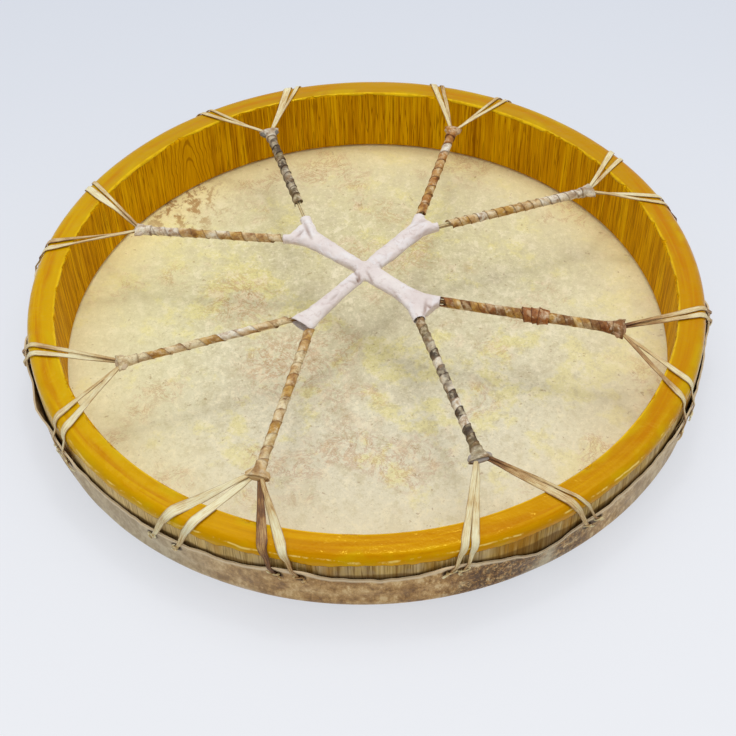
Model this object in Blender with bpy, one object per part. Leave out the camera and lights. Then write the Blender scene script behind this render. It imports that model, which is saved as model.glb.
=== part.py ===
"""Round frame drum with a laced rawhide head and a leather cross grip, lying head down."""

import math

import bmesh
import bpy
from mathutils import Vector

# Hoop, in metres
HOOP_OUTER_RADIUS = 0.2500
HOOP_WALL = 0.0208
RIM_HEIGHT = 0.0584
RIM_OUTER_ROUND = 0.0060
RIM_INNER_ROUND = 0.0018
EDGE_OUTER_ROUND = 0.0130
EDGE_INNER_ROUND = 0.0040
HOOP_STEPS = 96

# Rawhide head
HIDE = 0.0012
SKIRT_HUG_HEIGHT = 0.0210
SKIRT_LOW = 0.0392
SKIRT_RISE_SPREAD = 0.0135
SKIRT_SLACK = 0.0005
SKIRT_TIP = 0.0460
SKIRT_TIP_FLARE = 0.0025
SKIRT_DIP = 0.0095
SKIRT_DIP_DIRECTION = 296.5
SKIRT_DIP_SPREAD = 6.0
SKIRT_BULGE = 0.0036
SKIRT_BULGE_DIRECTION = 203.5
SKIRT_BULGE_SPREAD = 3.6
LACE_ROOM_SPREAD = 1.8
HOLE_BELOW_EDGE = 0.0060
HOLE_RADIUS = 0.0022
HEAD_STEPS = 120
HOLE_SIDES = 10
EDGE_STEPS = 3
KNOT_STEPS = 12

# Gap between touching pieces
CLEARANCE = 0.0003

# Rawhide laces: square in the spokes, flat over the rim
LACE_SIDE = 0.0016
LACE_WIDTH_ON_RIM = 0.0046
LACE_WIDTH_ON_WALL = 0.0034
LACE_WIDTH_AT_HOLE = 0.0026
LACE_THICKNESS = 0.0010
LACE_DRIFTS = (2.8, 2.4)

# Strip wound round each spoke
WRAP_THICKNESS = 0.0008
WRAP_PITCH = 0.0140
WRAP_TURN_GAP = 0.0005
WRAP_LIP = 0.0004
WRAP_POINTS = 10
COLLAR_REACH = 0.0015
TIE_LENGTH = 0.0200
TIE_THICKNESS = 0.0016
TIE_PITCH = 0.0064
TIE_PLACE = 0.50

# Cross grip
GRIP_CENTRE = Vector((0.0007, 0.0090))
ARM_HALF_WIDTH = 0.0068
WEB_HALF_WIDTH = 0.0092
ARM_HALF_HEIGHT = 0.0052
NECK_WALL = 0.0010
NECK_LENGTH = 0.0085
SLEEVE_START = 0.0090
CROSSING_WALL = 0.0011
CROSSING_REACH = 0.0170
CROSSING_FOLD = 0.0004
FINGER_RADIUS = 0.0046
SLEEVE_SIDES = 12
KNOT_RADIUS = 0.0060
KNOT_HALF_HEIGHT = 0.0028

# Arms of the grip, counted counter-clockwise: directions in degrees, lengths from the middle to
# where their two spokes part, and how far the leather goes on as a web between the spokes
ARM_DIRECTIONS = (47.0, 138.6, 229.1, 316.7)
ARM_LENGTHS = (0.0587, 0.0545, 0.0608, 0.0460)
WEB_LENGTHS = (0.012, 0.012, 0.010, 0.013)

# Spokes 1 to 8, counted counter-clockwise from +X, two to an arm: where each forks, where its two
# legs cross the rim's outer edge, how far apart each leg's strands are there, how high the head is
# drawn up at each leg, how far the grip's leather covers the spoke, and the bare length after that
FORK_DIRECTIONS = (27.5, 66.3, 113.3, 160.4, 204.2, 247.7, 292.9, 342.1)
FORK_RADII = (0.200, 0.188, 0.192, 0.183, 0.189, 0.193, 0.183, 0.188)
LEG_DIRECTIONS = (
    (33.4, 18.9), (74.2, 60.8), (122.0, 103.5), (169.0, 151.7),
    (212.1, 194.4), (255.2, 240.3), (302.2, 284.3), (350.0, 331.8),
)
STRAND_SPREADS = (
    (2.5, 2.0), (1.8, 1.8), (1.8, 2.0), (2.0, 1.9),
    (3.0, 2.1), (3.0, 4.0), (1.6, 1.6), (1.7, 3.7),
)
TIP_HEIGHTS = (
    (0.046, 0.046), (0.046, 0.046), (0.046, 0.046), (0.046, 0.046),
    (0.046, 0.044), (0.047, 0.041), (0.040, 0.047), (0.046, 0.043),
)
FINGER_LENGTHS = (0.0205, 0.0165, 0.0255, 0.0235, 0.0155, 0.0145, 0.0195, 0.0225)
BARE_LENGTHS = (0.0, 0.0, 0.012, 0.0, 0.0, 0.0, 0.0, 0.0)

# Sizes that follow from the ones above
HOOP_INNER_RADIUS = HOOP_OUTER_RADIUS - HOOP_WALL
HOOP_BOTTOM = HIDE + CLEARANCE
EDGE_CENTRE = (HOOP_OUTER_RADIUS - EDGE_OUTER_ROUND, HOOP_BOTTOM + EDGE_OUTER_ROUND)
HUG_RADIUS = HOOP_OUTER_RADIUS + CLEARANCE
SKIRT_FLARE_START = (SKIRT_HUG_HEIGHT + SKIRT_LOW) / 2
LACE_ROOM = LACE_THICKNESS + CLEARANCE
LACE_EDGE_RADIUS = HOOP_OUTER_RADIUS - RIM_OUTER_ROUND / 2
LACE_HEIGHT = RIM_HEIGHT + CLEARANCE + LACE_THICKNESS / 2
LACE_WALL_RADIUS = HOOP_OUTER_RADIUS + CLEARANCE + LACE_THICKNESS / 2
LACE_PITCH = LACE_SIDE + CLEARANCE
BUNDLE_HALF = LACE_SIDE + CLEARANCE / 2
BUNDLE_OFFSET = BUNDLE_HALF + CLEARANCE / 2
BUNDLE_BORE = BUNDLE_HALF * math.sqrt(2) + CLEARANCE
WRAP_INNER = BUNDLE_BORE / math.cos(math.pi / WRAP_POINTS)
WRAP_OUTER = WRAP_INNER + WRAP_THICKNESS + WRAP_LIP
SLEEVE_ROUND = math.cos(math.pi / SLEEVE_SIDES)
ARM_BORE_HALF_HEIGHT = BUNDLE_BORE * 1.2
ARM_BORE_HALF_WIDTH = (2 * BUNDLE_HALF + CLEARANCE) / math.sqrt(
    1 - (BUNDLE_HALF / ARM_BORE_HALF_HEIGHT) ** 2
) / SLEEVE_ROUND + CLEARANCE
NECK_HALF_WIDTH = ARM_BORE_HALF_WIDTH + NECK_WALL
NECK_HALF_HEIGHT = ARM_BORE_HALF_HEIGHT + NECK_WALL
Z = Vector((0, 0, 1))


# Helpers

def material(name, colour, roughness):
    mat = bpy.data.materials.new(name)
    mat.use_nodes = True
    shader = mat.node_tree.nodes["Principled BSDF"]
    shader.inputs["Base Color"].default_value = (*colour, 1)
    shader.inputs["Roughness"].default_value = roughness
    shader.inputs["Metallic"].default_value = 0.0
    mat.diffuse_color = (*colour, 1)
    return mat


def add_piece(name, bm, mat, sharp=35):
    bmesh.ops.recalc_face_normals(bm, faces=bm.faces[:])
    mesh = bpy.data.meshes.new(name)
    bm.to_mesh(mesh)
    bm.free()
    mesh.shade_smooth()
    mesh.set_sharp_from_angle(angle=math.radians(sharp))
    if mat:
        mesh.materials.append(mat)
    obj = bpy.data.objects.new(name, mesh)
    bpy.context.scene.collection.objects.link(obj)
    return obj


def loft(rings, closed_path=False, closed_ring=True):
    """Skin a row of rings that have equal point counts; open paths get flat end caps."""
    bm = bmesh.new()
    rows = [[bm.verts.new(point) for point in ring] for ring in rings]
    count = len(rows[0])
    pairs = list(zip(rows, rows[1:]))
    if closed_path:
        pairs.append((rows[-1], rows[0]))
    for first, second in pairs:
        for i in range(count if closed_ring else count - 1):
            j = (i + 1) % count
            bm.faces.new((first[i], first[j], second[j], second[i]))
    if not closed_path:
        bm.faces.new(list(reversed(rows[0])))
        bm.faces.new(rows[-1])
    if not closed_ring:
        bm.faces.new([row[0] for row in rows])
        bm.faces.new([row[-1] for row in rows])
    return bm


def arc(centre, radius, start, end, steps):
    """Points (r, z) on an arc, angles in degrees from the r axis."""
    points = []
    for i in range(steps + 1):
        angle = math.radians(start + (end - start) * i / steps)
        points.append((centre[0] + radius * math.cos(angle), centre[1] + radius * math.sin(angle)))
    return points


def direction(degrees):
    return Vector((math.cos(math.radians(degrees)), math.sin(math.radians(degrees))))


def cylindrical(radius, degrees, height):
    return Vector((*(radius * direction(degrees)), height))


def turned(profile, steps):
    """Rings of a profile of (r, z) points turned round the drum's axis."""
    return [[cylindrical(r, 360 * k / steps, z) for r, z in profile] for k in range(steps)]


def hide_tool(obj):
    obj.hide_render = True
    obj.display_type = "WIRE"


def boolean(obj, tool, operation):
    modifier = obj.modifiers.new(operation.title(), "BOOLEAN")
    modifier.operation = operation
    modifier.solver = "EXACT"
    modifier.object = tool


# Hoop

def make_hoop():
    bottom = HOOP_BOTTOM
    top = RIM_HEIGHT
    profile = arc(EDGE_CENTRE, EDGE_OUTER_ROUND, -90, 0, EDGE_STEPS)
    top_outer = (HOOP_OUTER_RADIUS - RIM_OUTER_ROUND, top - RIM_OUTER_ROUND)
    profile += arc(top_outer, RIM_OUTER_ROUND, 0, 90, 3)
    top_inner = (HOOP_INNER_RADIUS + RIM_INNER_ROUND, top - RIM_INNER_ROUND)
    profile += arc(top_inner, RIM_INNER_ROUND, 90, 180, 2)
    low_inner = (HOOP_INNER_RADIUS + EDGE_INNER_ROUND, bottom + EDGE_INNER_ROUND)
    profile += arc(low_inner, EDGE_INNER_ROUND, 180, 270, 2)
    wood = material("hoop_wood", (0.60, 0.33, 0.05), 0.35)
    return add_piece("hoop", loft(turned(profile, HOOP_STEPS), closed_path=True), wood)


# Rawhide head

def strand_angles(leg, outward):
    """Directions of a leg's far and near strands, seen from its spoke, at the rim's outer edge."""
    middle, spread, _ = leg
    return middle + outward * spread / 2, middle - outward * spread / 2


def hole_angles(leg, outward):
    """Directions of a leg's holes: the strands keep their slant down the hoop's outer wall."""
    far, near = strand_angles(leg, outward)
    return far + outward * LACE_DRIFTS[0], near + outward * LACE_DRIFTS[1]


def all_legs():
    """Every leg as (spoke number, letter, (direction, spread, tip height), outward side)."""
    tables = zip(LEG_DIRECTIONS, STRAND_SPREADS, TIP_HEIGHTS)
    for index, (directions, spreads, tips) in enumerate(tables):
        for letter, leg, outward in zip("ab", zip(directions, spreads, tips), (1, -1)):
            yield index + 1, letter, leg, outward


def leg_hold(degrees, leg, outward):
    """How firmly a leg holds the head up in a direction: 1 at its holes, near 0 away from them."""
    far, near = hole_angles(leg, outward)
    away = abs((degrees - (far + near) / 2 + 180) % 360 - 180)
    distance = math.radians(max(0.0, away - abs(far - near) / 2)) * HOOP_OUTER_RADIUS
    return math.exp(-((distance / SKIRT_RISE_SPREAD) ** 2))


def skirt_pull(degrees):
    return max(leg_hold(degrees, leg, outward) for _, _, leg, outward in all_legs())


def skirt_top(degrees):
    """Height of the head's free edge: highest at the holes, and lowest where it once slipped."""
    slipped = math.exp(-(((degrees - SKIRT_DIP_DIRECTION) / SKIRT_DIP_SPREAD) ** 2))
    low = SKIRT_LOW - SKIRT_DIP * slipped
    top = low
    for _, _, leg, outward in all_legs():
        top = max(top, low + (leg[2] - low) * leg_hold(degrees, leg, outward))
    return top


def skirt_bulge(degrees):
    """How far the dried edge stands off the hoop in the one place where it has warped."""
    return SKIRT_BULGE * math.exp(-(((degrees - SKIRT_BULGE_DIRECTION) / SKIRT_BULGE_SPREAD) ** 2))


def skirt_radius(height, pull, bulge=0.0):
    """Inner radius of the standing edge, which makes room for the laces and leans out to its tips."""
    above = max(0.0, height - SKIRT_FLARE_START)
    leaning = SKIRT_TIP_FLARE * pull * above / (SKIRT_TIP - SKIRT_FLARE_START)
    stand = SKIRT_SLACK + bulge * min(1.0, above / (SKIRT_LOW - SKIRT_FLARE_START))
    room = LACE_ROOM * min(1.0, pull * LACE_ROOM_SPREAD)
    return HUG_RADIUS + max(room, stand) + leaning


def lace_skirt_radius(height):
    """Radius of a lace's middle where it lies on the outside of the drawn-up edge."""
    return skirt_radius(height, 1) + HIDE + CLEARANCE + LACE_THICKNESS / 2


def head_profile(degrees):
    """Points (r, z) round the head's section in a direction, from the flat part and back to it."""
    pull = skirt_pull(degrees)
    bulge = skirt_bulge(degrees)
    top = skirt_top(degrees)
    outer = arc(EDGE_CENTRE, EDGE_OUTER_ROUND + CLEARANCE + HIDE, -90, 0, EDGE_STEPS)
    inner = arc(EDGE_CENTRE, EDGE_OUTER_ROUND + CLEARANCE, -90, 0, EDGE_STEPS)
    outer.append((HUG_RADIUS + HIDE, SKIRT_HUG_HEIGHT))
    inner.append((HUG_RADIUS, SKIRT_HUG_HEIGHT))
    for height in (min(SKIRT_FLARE_START, (SKIRT_HUG_HEIGHT + top) / 2), top):
        radius = skirt_radius(height, pull, bulge)
        outer.append((radius + HIDE, height))
        inner.append((radius, height))
    return outer + inner[::-1]


def make_head():
    rings = []
    for k in range(HEAD_STEPS):
        degrees = 360 * k / HEAD_STEPS
        rings.append([cylindrical(r, degrees, z) for r, z in head_profile(degrees)])
    bm = loft(rings, closed_path=True, closed_ring=False)
    hide = material("head_rawhide", (0.66, 0.55, 0.40), 0.6)
    head = add_piece("drum_head", bm, hide)
    tool = add_piece("lace_hole_drills", hole_drills(), None)
    hide_tool(tool)
    boolean(head, tool, "DIFFERENCE")
    return head


def hole_drills():
    """One mesh with a short bar through the skirt at each lace hole."""
    drills = bmesh.new()
    for _, _, leg, outward in all_legs():
        for degrees in hole_angles(leg, outward):
            out = Vector((*direction(degrees), 0))
            side = Vector((-out.y, out.x, 0))
            ends = []
            for radius in (HOOP_OUTER_RADIUS, lace_skirt_radius(SKIRT_TIP)):
                centre = out * radius + Z * (leg[2] - HOLE_BELOW_EDGE)
                ring = []
                for i in range(HOLE_SIDES):
                    turn = 2 * math.pi * i / HOLE_SIDES
                    ring.append(centre + HOLE_RADIUS * (side * math.cos(turn) + Z * math.sin(turn)))
                ends.append([drills.verts.new(point) for point in ring])
            for i in range(HOLE_SIDES):
                j = (i + 1) % HOLE_SIDES
                drills.faces.new((ends[0][i], ends[0][j], ends[1][j], ends[1][i]))
            drills.faces.new(ends[0][::-1])
            drills.faces.new(ends[1])
    return drills


# Spoke lines in plan

def arm_of(number):
    """Index of the arm that carries a spoke, and the side of it, +1 counter-clockwise."""
    return (number - 1) // 2, 1 if number % 2 == 0 else -1


def spoke_line(number):
    """Plan points of a spoke's bundle: at the knot, before and after the bend, and at the fork."""
    arm, hand = arm_of(number)
    along = direction(ARM_DIRECTIONS[arm])
    side = Vector((-along.y, along.x)) * hand
    lane = GRIP_CENTRE + side * BUNDLE_OFFSET
    bend = lane + along * ARM_LENGTHS[arm]
    fork = FORK_RADII[number - 1] * direction(FORK_DIRECTIONS[number - 1])
    onward = (fork - bend).normalized()
    start = lane + along * (KNOT_RADIUS + CLEARANCE)
    return [start, bend - along * BUNDLE_HALF, bend + onward * BUNDLE_HALF, fork]


def offset_line(points, distance):
    """Plan points moved sideways to the left by a distance, mitred at the corners."""
    moved = []
    for i, point in enumerate(points):
        before = (point - points[i - 1]).normalized() if i else (points[1] - point).normalized()
        after = (points[i + 1] - point).normalized() if i < len(points) - 1 else before
        tangent = (before + after).normalized()
        left = Vector((-tangent.y, tangent.x))
        moved.append(point + left * distance / tangent.dot(before))
    return moved


# Laces

def blend(start, end, share):
    return start + (end - start) * share


def reach_share(start, end, radius):
    """Share of the way from start to end at which a line in plan is a radius from the axis."""
    way = end - start
    half = start.dot(way)
    rest = way.dot(way) * (start.dot(start) - radius ** 2)
    return (math.sqrt(half ** 2 - rest) - half) / way.dot(way)


def strand_stations(number, outward, row, degrees, hole, tip):
    """Stations of one strand from the knot to its hole: point, face normal, width, thickness."""
    column = outward * LACE_PITCH / 2
    height = LACE_HEIGHT + row * LACE_PITCH / 2
    line = offset_line(spoke_line(number), column)
    stations = [(Vector((*point, height)), Z, LACE_SIDE, LACE_SIDE) for point in line]
    fork = line[-1]
    edge = direction(degrees) * LACE_EDGE_RADIUS
    round_start = HOOP_OUTER_RADIUS - RIM_OUTER_ROUND
    gate = reach_share(fork, edge, HOOP_INNER_RADIUS - LACE_THICKNESS)
    for share in (gate * 0.3, gate * 0.6, gate * 0.8, gate, reach_share(fork, edge, round_start)):
        level = min(1.0, max(0.0, (share / gate - 0.55) / 0.4))
        point = Vector((*blend(fork, edge, share), blend(height, LACE_HEIGHT, level)))
        thickness = blend(LACE_SIDE, LACE_THICKNESS, level)
        stations.append((point, Z, blend(LACE_SIDE, LACE_WIDTH_ON_RIM, share), thickness))
    shift = hole - degrees
    round_centre = (round_start, RIM_HEIGHT - RIM_OUTER_ROUND)
    round_radius = RIM_OUTER_ROUND + CLEARANCE + LACE_THICKNESS / 2
    for tilt, share in ((60, 0.0), (30, 0.15), (0, 0.33)):
        radius, level = arc(round_centre, round_radius, tilt, tilt, 1)[0]
        place = degrees + shift * share
        out = Vector((*direction(place), 0))
        normal = out * math.cos(math.radians(tilt)) + Z * math.sin(math.radians(tilt))
        width = blend(LACE_WIDTH_ON_RIM, LACE_WIDTH_ON_WALL, 1 - tilt / 90)
        stations.append((cylindrical(radius, place, level), normal, width, LACE_THICKNESS))
    out = Vector((*direction(hole), 0))
    edge_top = tip + LACE_THICKNESS
    over = cylindrical(lace_skirt_radius(edge_top), degrees + shift * 0.62, edge_top)
    stations.append((over, out, LACE_WIDTH_ON_WALL, LACE_THICKNESS))
    drop = tip - HOLE_BELOW_EDGE
    corner = cylindrical(lace_skirt_radius(drop), hole, drop)
    stations.append((corner, (out - Z).normalized(), LACE_WIDTH_AT_HOLE, LACE_THICKNESS))
    return stations


def lace_stations(number, leg, outward):
    """A whole hairpin: out along the far strand, behind the skirt, back along the near one."""
    far, near = strand_angles(leg, outward)
    far_hole, near_hole = hole_angles(leg, outward)
    tip = leg[2]
    out_run = strand_stations(number, outward, 1, far, far_hole, tip)
    back_run = strand_stations(number, outward, -1, near, near_hole, tip)
    behind = []
    for share in (0, 1 / 3, 2 / 3, 1):
        degrees = blend(far_hole, near_hole, share)
        place = cylindrical(LACE_WALL_RADIUS, degrees, tip - HOLE_BELOW_EDGE)
        behind.append((place, -Z, LACE_THICKNESS, LACE_SIDE))
    return out_run + behind + back_run[::-1]


def sweep(stations):
    """Skin a flat strip through its stations, with mitred bends."""
    rings = []
    points = [station[0] for station in stations]
    for i, (point, face, width, thickness) in enumerate(stations):
        before = (point - points[i - 1]).normalized() if i else (points[1] - point).normalized()
        after = (points[i + 1] - point).normalized() if i < len(points) - 1 else before
        tangent = (before + after).normalized()
        normal = (face - tangent * face.dot(tangent)).normalized()
        side = normal.cross(tangent)
        bend = after - before
        stretch = 1 / tangent.dot(before) - 1
        ring = []
        for across, up in ((-1, -1), (1, -1), (1, 1), (-1, 1)):
            offset = side * across * width / 2 + normal * up * thickness / 2
            if bend.length > 1e-6:
                axis = bend.normalized()
                offset += axis * offset.dot(axis) * stretch
            ring.append(point + offset)
        rings.append(ring)
    return loft(rings)


def make_laces():
    rawhide = material("lace_rawhide", (0.72, 0.60, 0.40), 0.45)
    for number, letter, leg, outward in all_legs():
        bm = sweep(lace_stations(number, leg, outward))
        add_piece(f"lace_{number}{letter}", bm, rawhide)


# Strips wound round the spokes

def wound_strip(start, along, length, radii, pitch, thickness, lip):
    """Rings of a strip wound round a line; radii gives the inner half width and height at a
    distance along it."""
    side = Vector((-along.y, along.x, 0))
    width = pitch - WRAP_TURN_GAP
    turns = (length - width) / pitch
    steps = max(WRAP_POINTS, round(turns * WRAP_POINTS))
    rings = []
    for i in range(steps + 1):
        turn = 2 * math.pi * turns * i / steps
        middle = width / 2 + (length - width) * i / steps
        ring = []
        for across, level in ((-1, 0), (1, 0), (1, 1), (-1, 1)):
            place = middle + across * width / 2
            half_width, half_height = radii(place)
            grown = level * thickness + (lip if across > 0 else 0)
            point = start + along * place
            point = point + side * (half_width + grown) * math.cos(turn)
            point = point + Z * (half_height + grown) * math.sin(turn)
            ring.append(point)
        rings.append(ring)
    return rings


def least_turn_gap(rings):
    """Least distance between the points of neighbouring turns."""
    least = 1.0
    for i, ring in enumerate(rings):
        for other in rings[i + WRAP_POINTS - 2:i + WRAP_POINTS + 3]:
            for a in ring:
                for b in other:
                    least = min(least, (a - b).length)
    return least


def wrap_span(number):
    """Start point, direction and length of a spoke's wrap, up to its fork."""
    bend, fork = spoke_line(number)[2:]
    along = (fork - bend).normalized()
    skipped = FINGER_LENGTHS[number - 1] + BARE_LENGTHS[number - 1] + CLEARANCE
    start = bend + along * skipped
    return start, along, (fork - start).length


def leg_slope(number):
    """How far the wider leg of a fork moves aside for each unit along its spoke."""
    along = wrap_span(number)[1]
    fork = spoke_line(number)[-1]
    slopes = []
    for other, _, leg, outward in all_legs():
        if other == number:
            far = strand_angles(leg, outward)[0]
            way = direction(far) * LACE_EDGE_RADIUS - fork
            slopes.append(abs(way.cross(along)) / way.dot(along))
    return max(slopes)


def make_wraps():
    colours = {
        1: (0.62, 0.50, 0.33), 2: (0.42, 0.28, 0.14), 3: (0.16, 0.14, 0.11), 4: (0.55, 0.45, 0.34),
        5: (0.55, 0.42, 0.26), 6: (0.52, 0.34, 0.14), 7: (0.34, 0.30, 0.26), 8: (0.38, 0.21, 0.10),
    }
    for number in colours:
        start, along, length = wrap_span(number)
        slope = leg_slope(number)

        def radii(place):
            beyond = max(0.0, place - length)
            slant = math.hypot(1, slope) if beyond else 1
            return WRAP_INNER + slope * beyond + BUNDLE_HALF * (slant - 1), WRAP_INNER

        origin = Vector((*start, LACE_HEIGHT))
        heading = Vector((*along, 0))
        reach = length + COLLAR_REACH
        rings = wound_strip(origin, heading, reach, radii, WRAP_PITCH, WRAP_THICKNESS, WRAP_LIP)
        cloth = material(f"wrap_{number}_strip", colours[number], 0.8)
        add_piece(f"wrap_{number}", loft(rings), cloth)
        print(f"wrap_{number}: least gap between turns {least_turn_gap(rings) * 1000:.2f} mm")


def make_tie():
    start, along, length = wrap_span(8)
    middle = start + along * (length * TIE_PLACE - TIE_LENGTH / 2)
    inner = (WRAP_OUTER + CLEARANCE) / math.cos(math.pi / WRAP_POINTS)
    rings = wound_strip(
        Vector((*middle, LACE_HEIGHT)), Vector((*along, 0)), TIE_LENGTH,
        lambda place: (inner, inner), TIE_PITCH, TIE_THICKNESS, 0.0,
    )
    leather = material("tie_leather", (0.45, 0.26, 0.12), 0.7)
    add_piece("tie_8", loft(rings), leather)
    print(f"tie_8: least gap between turns {least_turn_gap(rings) * 1000:.2f} mm")


# Cross grip

def tube_body(sections):
    """Solid through oval sections: centre in plan, direction, half width, half height."""
    rings = []
    for centre, along, half_width, half_height in sections:
        side = Vector((-along.y, along.x, 0))
        ring = []
        for i in range(SLEEVE_SIDES):
            turn = 2 * math.pi * i / SLEEVE_SIDES
            point = Vector((*centre, LACE_HEIGHT))
            point = point + side * half_width * math.cos(turn) + Z * half_height * math.sin(turn)
            ring.append(point)
        rings.append(ring)
    return loft(rings)


def add_tool(name, sections):
    tool = add_piece(name, tube_body(sections), None)
    hide_tool(tool)
    return tool


def make_sleeves():
    leather = material("grip_leather", (0.80, 0.76, 0.74), 0.7)
    bore = BUNDLE_BORE / SLEEVE_ROUND
    arms = zip(ARM_DIRECTIONS, ARM_LENGTHS, WEB_LENGTHS)
    for arm, (degrees, length, web) in enumerate(arms):
        along = direction(degrees)
        shapes = (
            (SLEEVE_START, NECK_HALF_WIDTH, NECK_HALF_HEIGHT),
            (SLEEVE_START + NECK_LENGTH, NECK_HALF_WIDTH, NECK_HALF_HEIGHT),
            (SLEEVE_START + NECK_LENGTH + CLEARANCE, ARM_HALF_WIDTH, ARM_HALF_HEIGHT),
            (length * 0.7, ARM_HALF_WIDTH, ARM_HALF_HEIGHT),
            (length, ARM_HALF_WIDTH * 1.1, ARM_HALF_HEIGHT),
            (length + web, WEB_HALF_WIDTH, FINGER_RADIUS),
        )
        sections = [(GRIP_CENTRE + along * place, along, w, h) for place, w, h in shapes]
        sleeve = add_piece(f"grip_sleeve_{arm + 1}", tube_body(sections), leather)
        fingers = []
        for number in (2 * arm + 1, 2 * arm + 2):
            before, after, fork = spoke_line(number)[1:]
            way = (fork - after).normalized()
            finger_end = after + way * FINGER_LENGTHS[number - 1]
            body = [
                (before - along * FINGER_RADIUS, (way + along).normalized(), FINGER_RADIUS, FINGER_RADIUS),
                (after, way, FINGER_RADIUS * 1.1, FINGER_RADIUS),
                (finger_end, way, FINGER_RADIUS, FINGER_RADIUS),
            ]
            hole = [
                (before - along * FINGER_RADIUS, along, bore, bore),
                (before, (way + along).normalized(), bore * 1.04, bore),
                (after, (way + along).normalized(), bore * 1.04, bore),
                (finger_end + way * HIDE, way, bore, bore),
            ]
            fingers.append((number, body, hole))
        for number, body, _ in fingers:
            boolean(sleeve, add_tool(f"finger_{number}", body), "UNION")
        channel = [
            (GRIP_CENTRE + along * place, along, ARM_BORE_HALF_WIDTH, ARM_BORE_HALF_HEIGHT)
            for place in (SLEEVE_START - HIDE, length)
        ]
        boolean(sleeve, add_tool(f"sleeve_channel_{arm + 1}", channel), "DIFFERENCE")
        for number, _, hole in fingers:
            boolean(sleeve, add_tool(f"finger_channel_{number}", hole), "DIFFERENCE")


def through_sections(first, last, reach, half_width, half_height):
    """Sections of a tube that runs from one arm of the grip, through its middle, to another."""
    come = -direction(ARM_DIRECTIONS[first])
    leave = direction(ARM_DIRECTIONS[last])
    return [
        (GRIP_CENTRE - come * reach, come, half_width, half_height),
        (GRIP_CENTRE, (come + leave).normalized(), half_width, half_height),
        (GRIP_CENTRE + leave * reach, leave, half_width, half_height),
    ]


def make_crossing():
    leather = material("crossing_leather", (0.80, 0.76, 0.74), 0.7)
    inner_width = (NECK_HALF_WIDTH + CLEARANCE) / SLEEVE_ROUND
    inner_height = (NECK_HALF_HEIGHT + CLEARANCE) / SLEEVE_ROUND
    outer = (inner_width + CROSSING_WALL, inner_height + CROSSING_WALL)
    lower = through_sections(0, 2, CROSSING_REACH, *outer)
    upper = through_sections(1, 3, CROSSING_REACH, outer[0], outer[1] + CROSSING_FOLD)
    crossing = add_piece("grip_crossing", tube_body(lower), leather)
    boolean(crossing, add_tool("crossing_upper", upper), "UNION")
    reach = CROSSING_REACH + HIDE
    channel = through_sections(0, 2, reach, inner_width, inner_height)
    boolean(crossing, add_tool("crossing_channel_lower", channel), "DIFFERENCE")
    channel = through_sections(1, 3, reach, inner_width, inner_height + CROSSING_FOLD)
    boolean(crossing, add_tool("crossing_channel_upper", channel), "DIFFERENCE")


def make_knot():
    rawhide = material("knot_rawhide", (0.60, 0.48, 0.30), 0.5)
    profile = []
    for i in range(1, 6):
        angle = math.radians(-90 + 30 * i)
        profile.append((KNOT_RADIUS * math.cos(angle) ** 0.5, KNOT_HALF_HEIGHT * math.sin(angle)))
    rings = []
    for ring in turned(profile, KNOT_STEPS):
        rings.append([point + Vector((*GRIP_CENTRE, LACE_HEIGHT)) for point in ring])
    add_piece("centre_knot", loft(rings, closed_path=True, closed_ring=False), rawhide)


def main():
    for obj in list(bpy.data.objects):
        bpy.data.objects.remove(obj)
    make_hoop()
    make_head()
    make_laces()
    make_wraps()
    make_tie()
    make_sleeves()
    make_crossing()
    make_knot()


main()
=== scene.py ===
# %% [markdown]
# # A round frame drum, seen into its open side
# A frame drum is a bent wooden hoop with a skin laced over one side. This one lies with its skin
# down, so we look into the hoop, at the laces that pull the skin tight and at the soft leather
# cross that the player holds. A plain model of the same drum has been packed already. We load it
# as a frame, and then make every visible piece again, finer, in the same place and in metres.

# %% Load the plain drum
import math

import bmesh
import bpy
from mathutils import Matrix, Vector, noise


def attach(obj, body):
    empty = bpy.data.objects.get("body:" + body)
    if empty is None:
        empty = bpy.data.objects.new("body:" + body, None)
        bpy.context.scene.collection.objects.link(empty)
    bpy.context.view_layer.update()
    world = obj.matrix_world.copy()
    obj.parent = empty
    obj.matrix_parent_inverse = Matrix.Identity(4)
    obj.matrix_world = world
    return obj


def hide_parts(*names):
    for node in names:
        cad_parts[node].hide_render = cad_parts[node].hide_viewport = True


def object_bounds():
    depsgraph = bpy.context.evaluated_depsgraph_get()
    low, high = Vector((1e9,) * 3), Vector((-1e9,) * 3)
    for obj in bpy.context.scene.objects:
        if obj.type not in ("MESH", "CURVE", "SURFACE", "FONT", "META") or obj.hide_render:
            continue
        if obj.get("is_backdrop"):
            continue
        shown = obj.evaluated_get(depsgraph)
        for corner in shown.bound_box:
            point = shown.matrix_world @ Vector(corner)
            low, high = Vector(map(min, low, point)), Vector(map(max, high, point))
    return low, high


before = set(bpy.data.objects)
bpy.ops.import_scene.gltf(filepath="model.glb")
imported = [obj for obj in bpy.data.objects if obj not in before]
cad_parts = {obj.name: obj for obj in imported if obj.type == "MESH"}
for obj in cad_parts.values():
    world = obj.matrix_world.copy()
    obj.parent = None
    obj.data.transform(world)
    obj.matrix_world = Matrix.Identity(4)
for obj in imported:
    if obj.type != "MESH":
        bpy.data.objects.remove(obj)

plain_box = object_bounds()
print("plain pieces:", len(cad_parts))
print("plain box:", [[round(value, 4) for value in corner] for corner in plain_box])

# %% Small helpers
def add(name, data):
    """Add an object with some data to the scene."""
    thing = bpy.data.objects.new(name, data)
    bpy.context.scene.collection.objects.link(thing)
    return thing


def clamp(value):
    return min(1.0, max(0.0, value))


def wobble(x, y, z):
    """A smooth noise between -1 and 1 that is always the same for the same three numbers."""
    return noise.noise(Vector((x, y, z)))


def mesh_of(name, shape):
    """A mesh made from a bmesh, which is then done with."""
    mesh = bpy.data.meshes.new(name)
    shape.to_mesh(mesh)
    shape.free()
    return mesh


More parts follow.
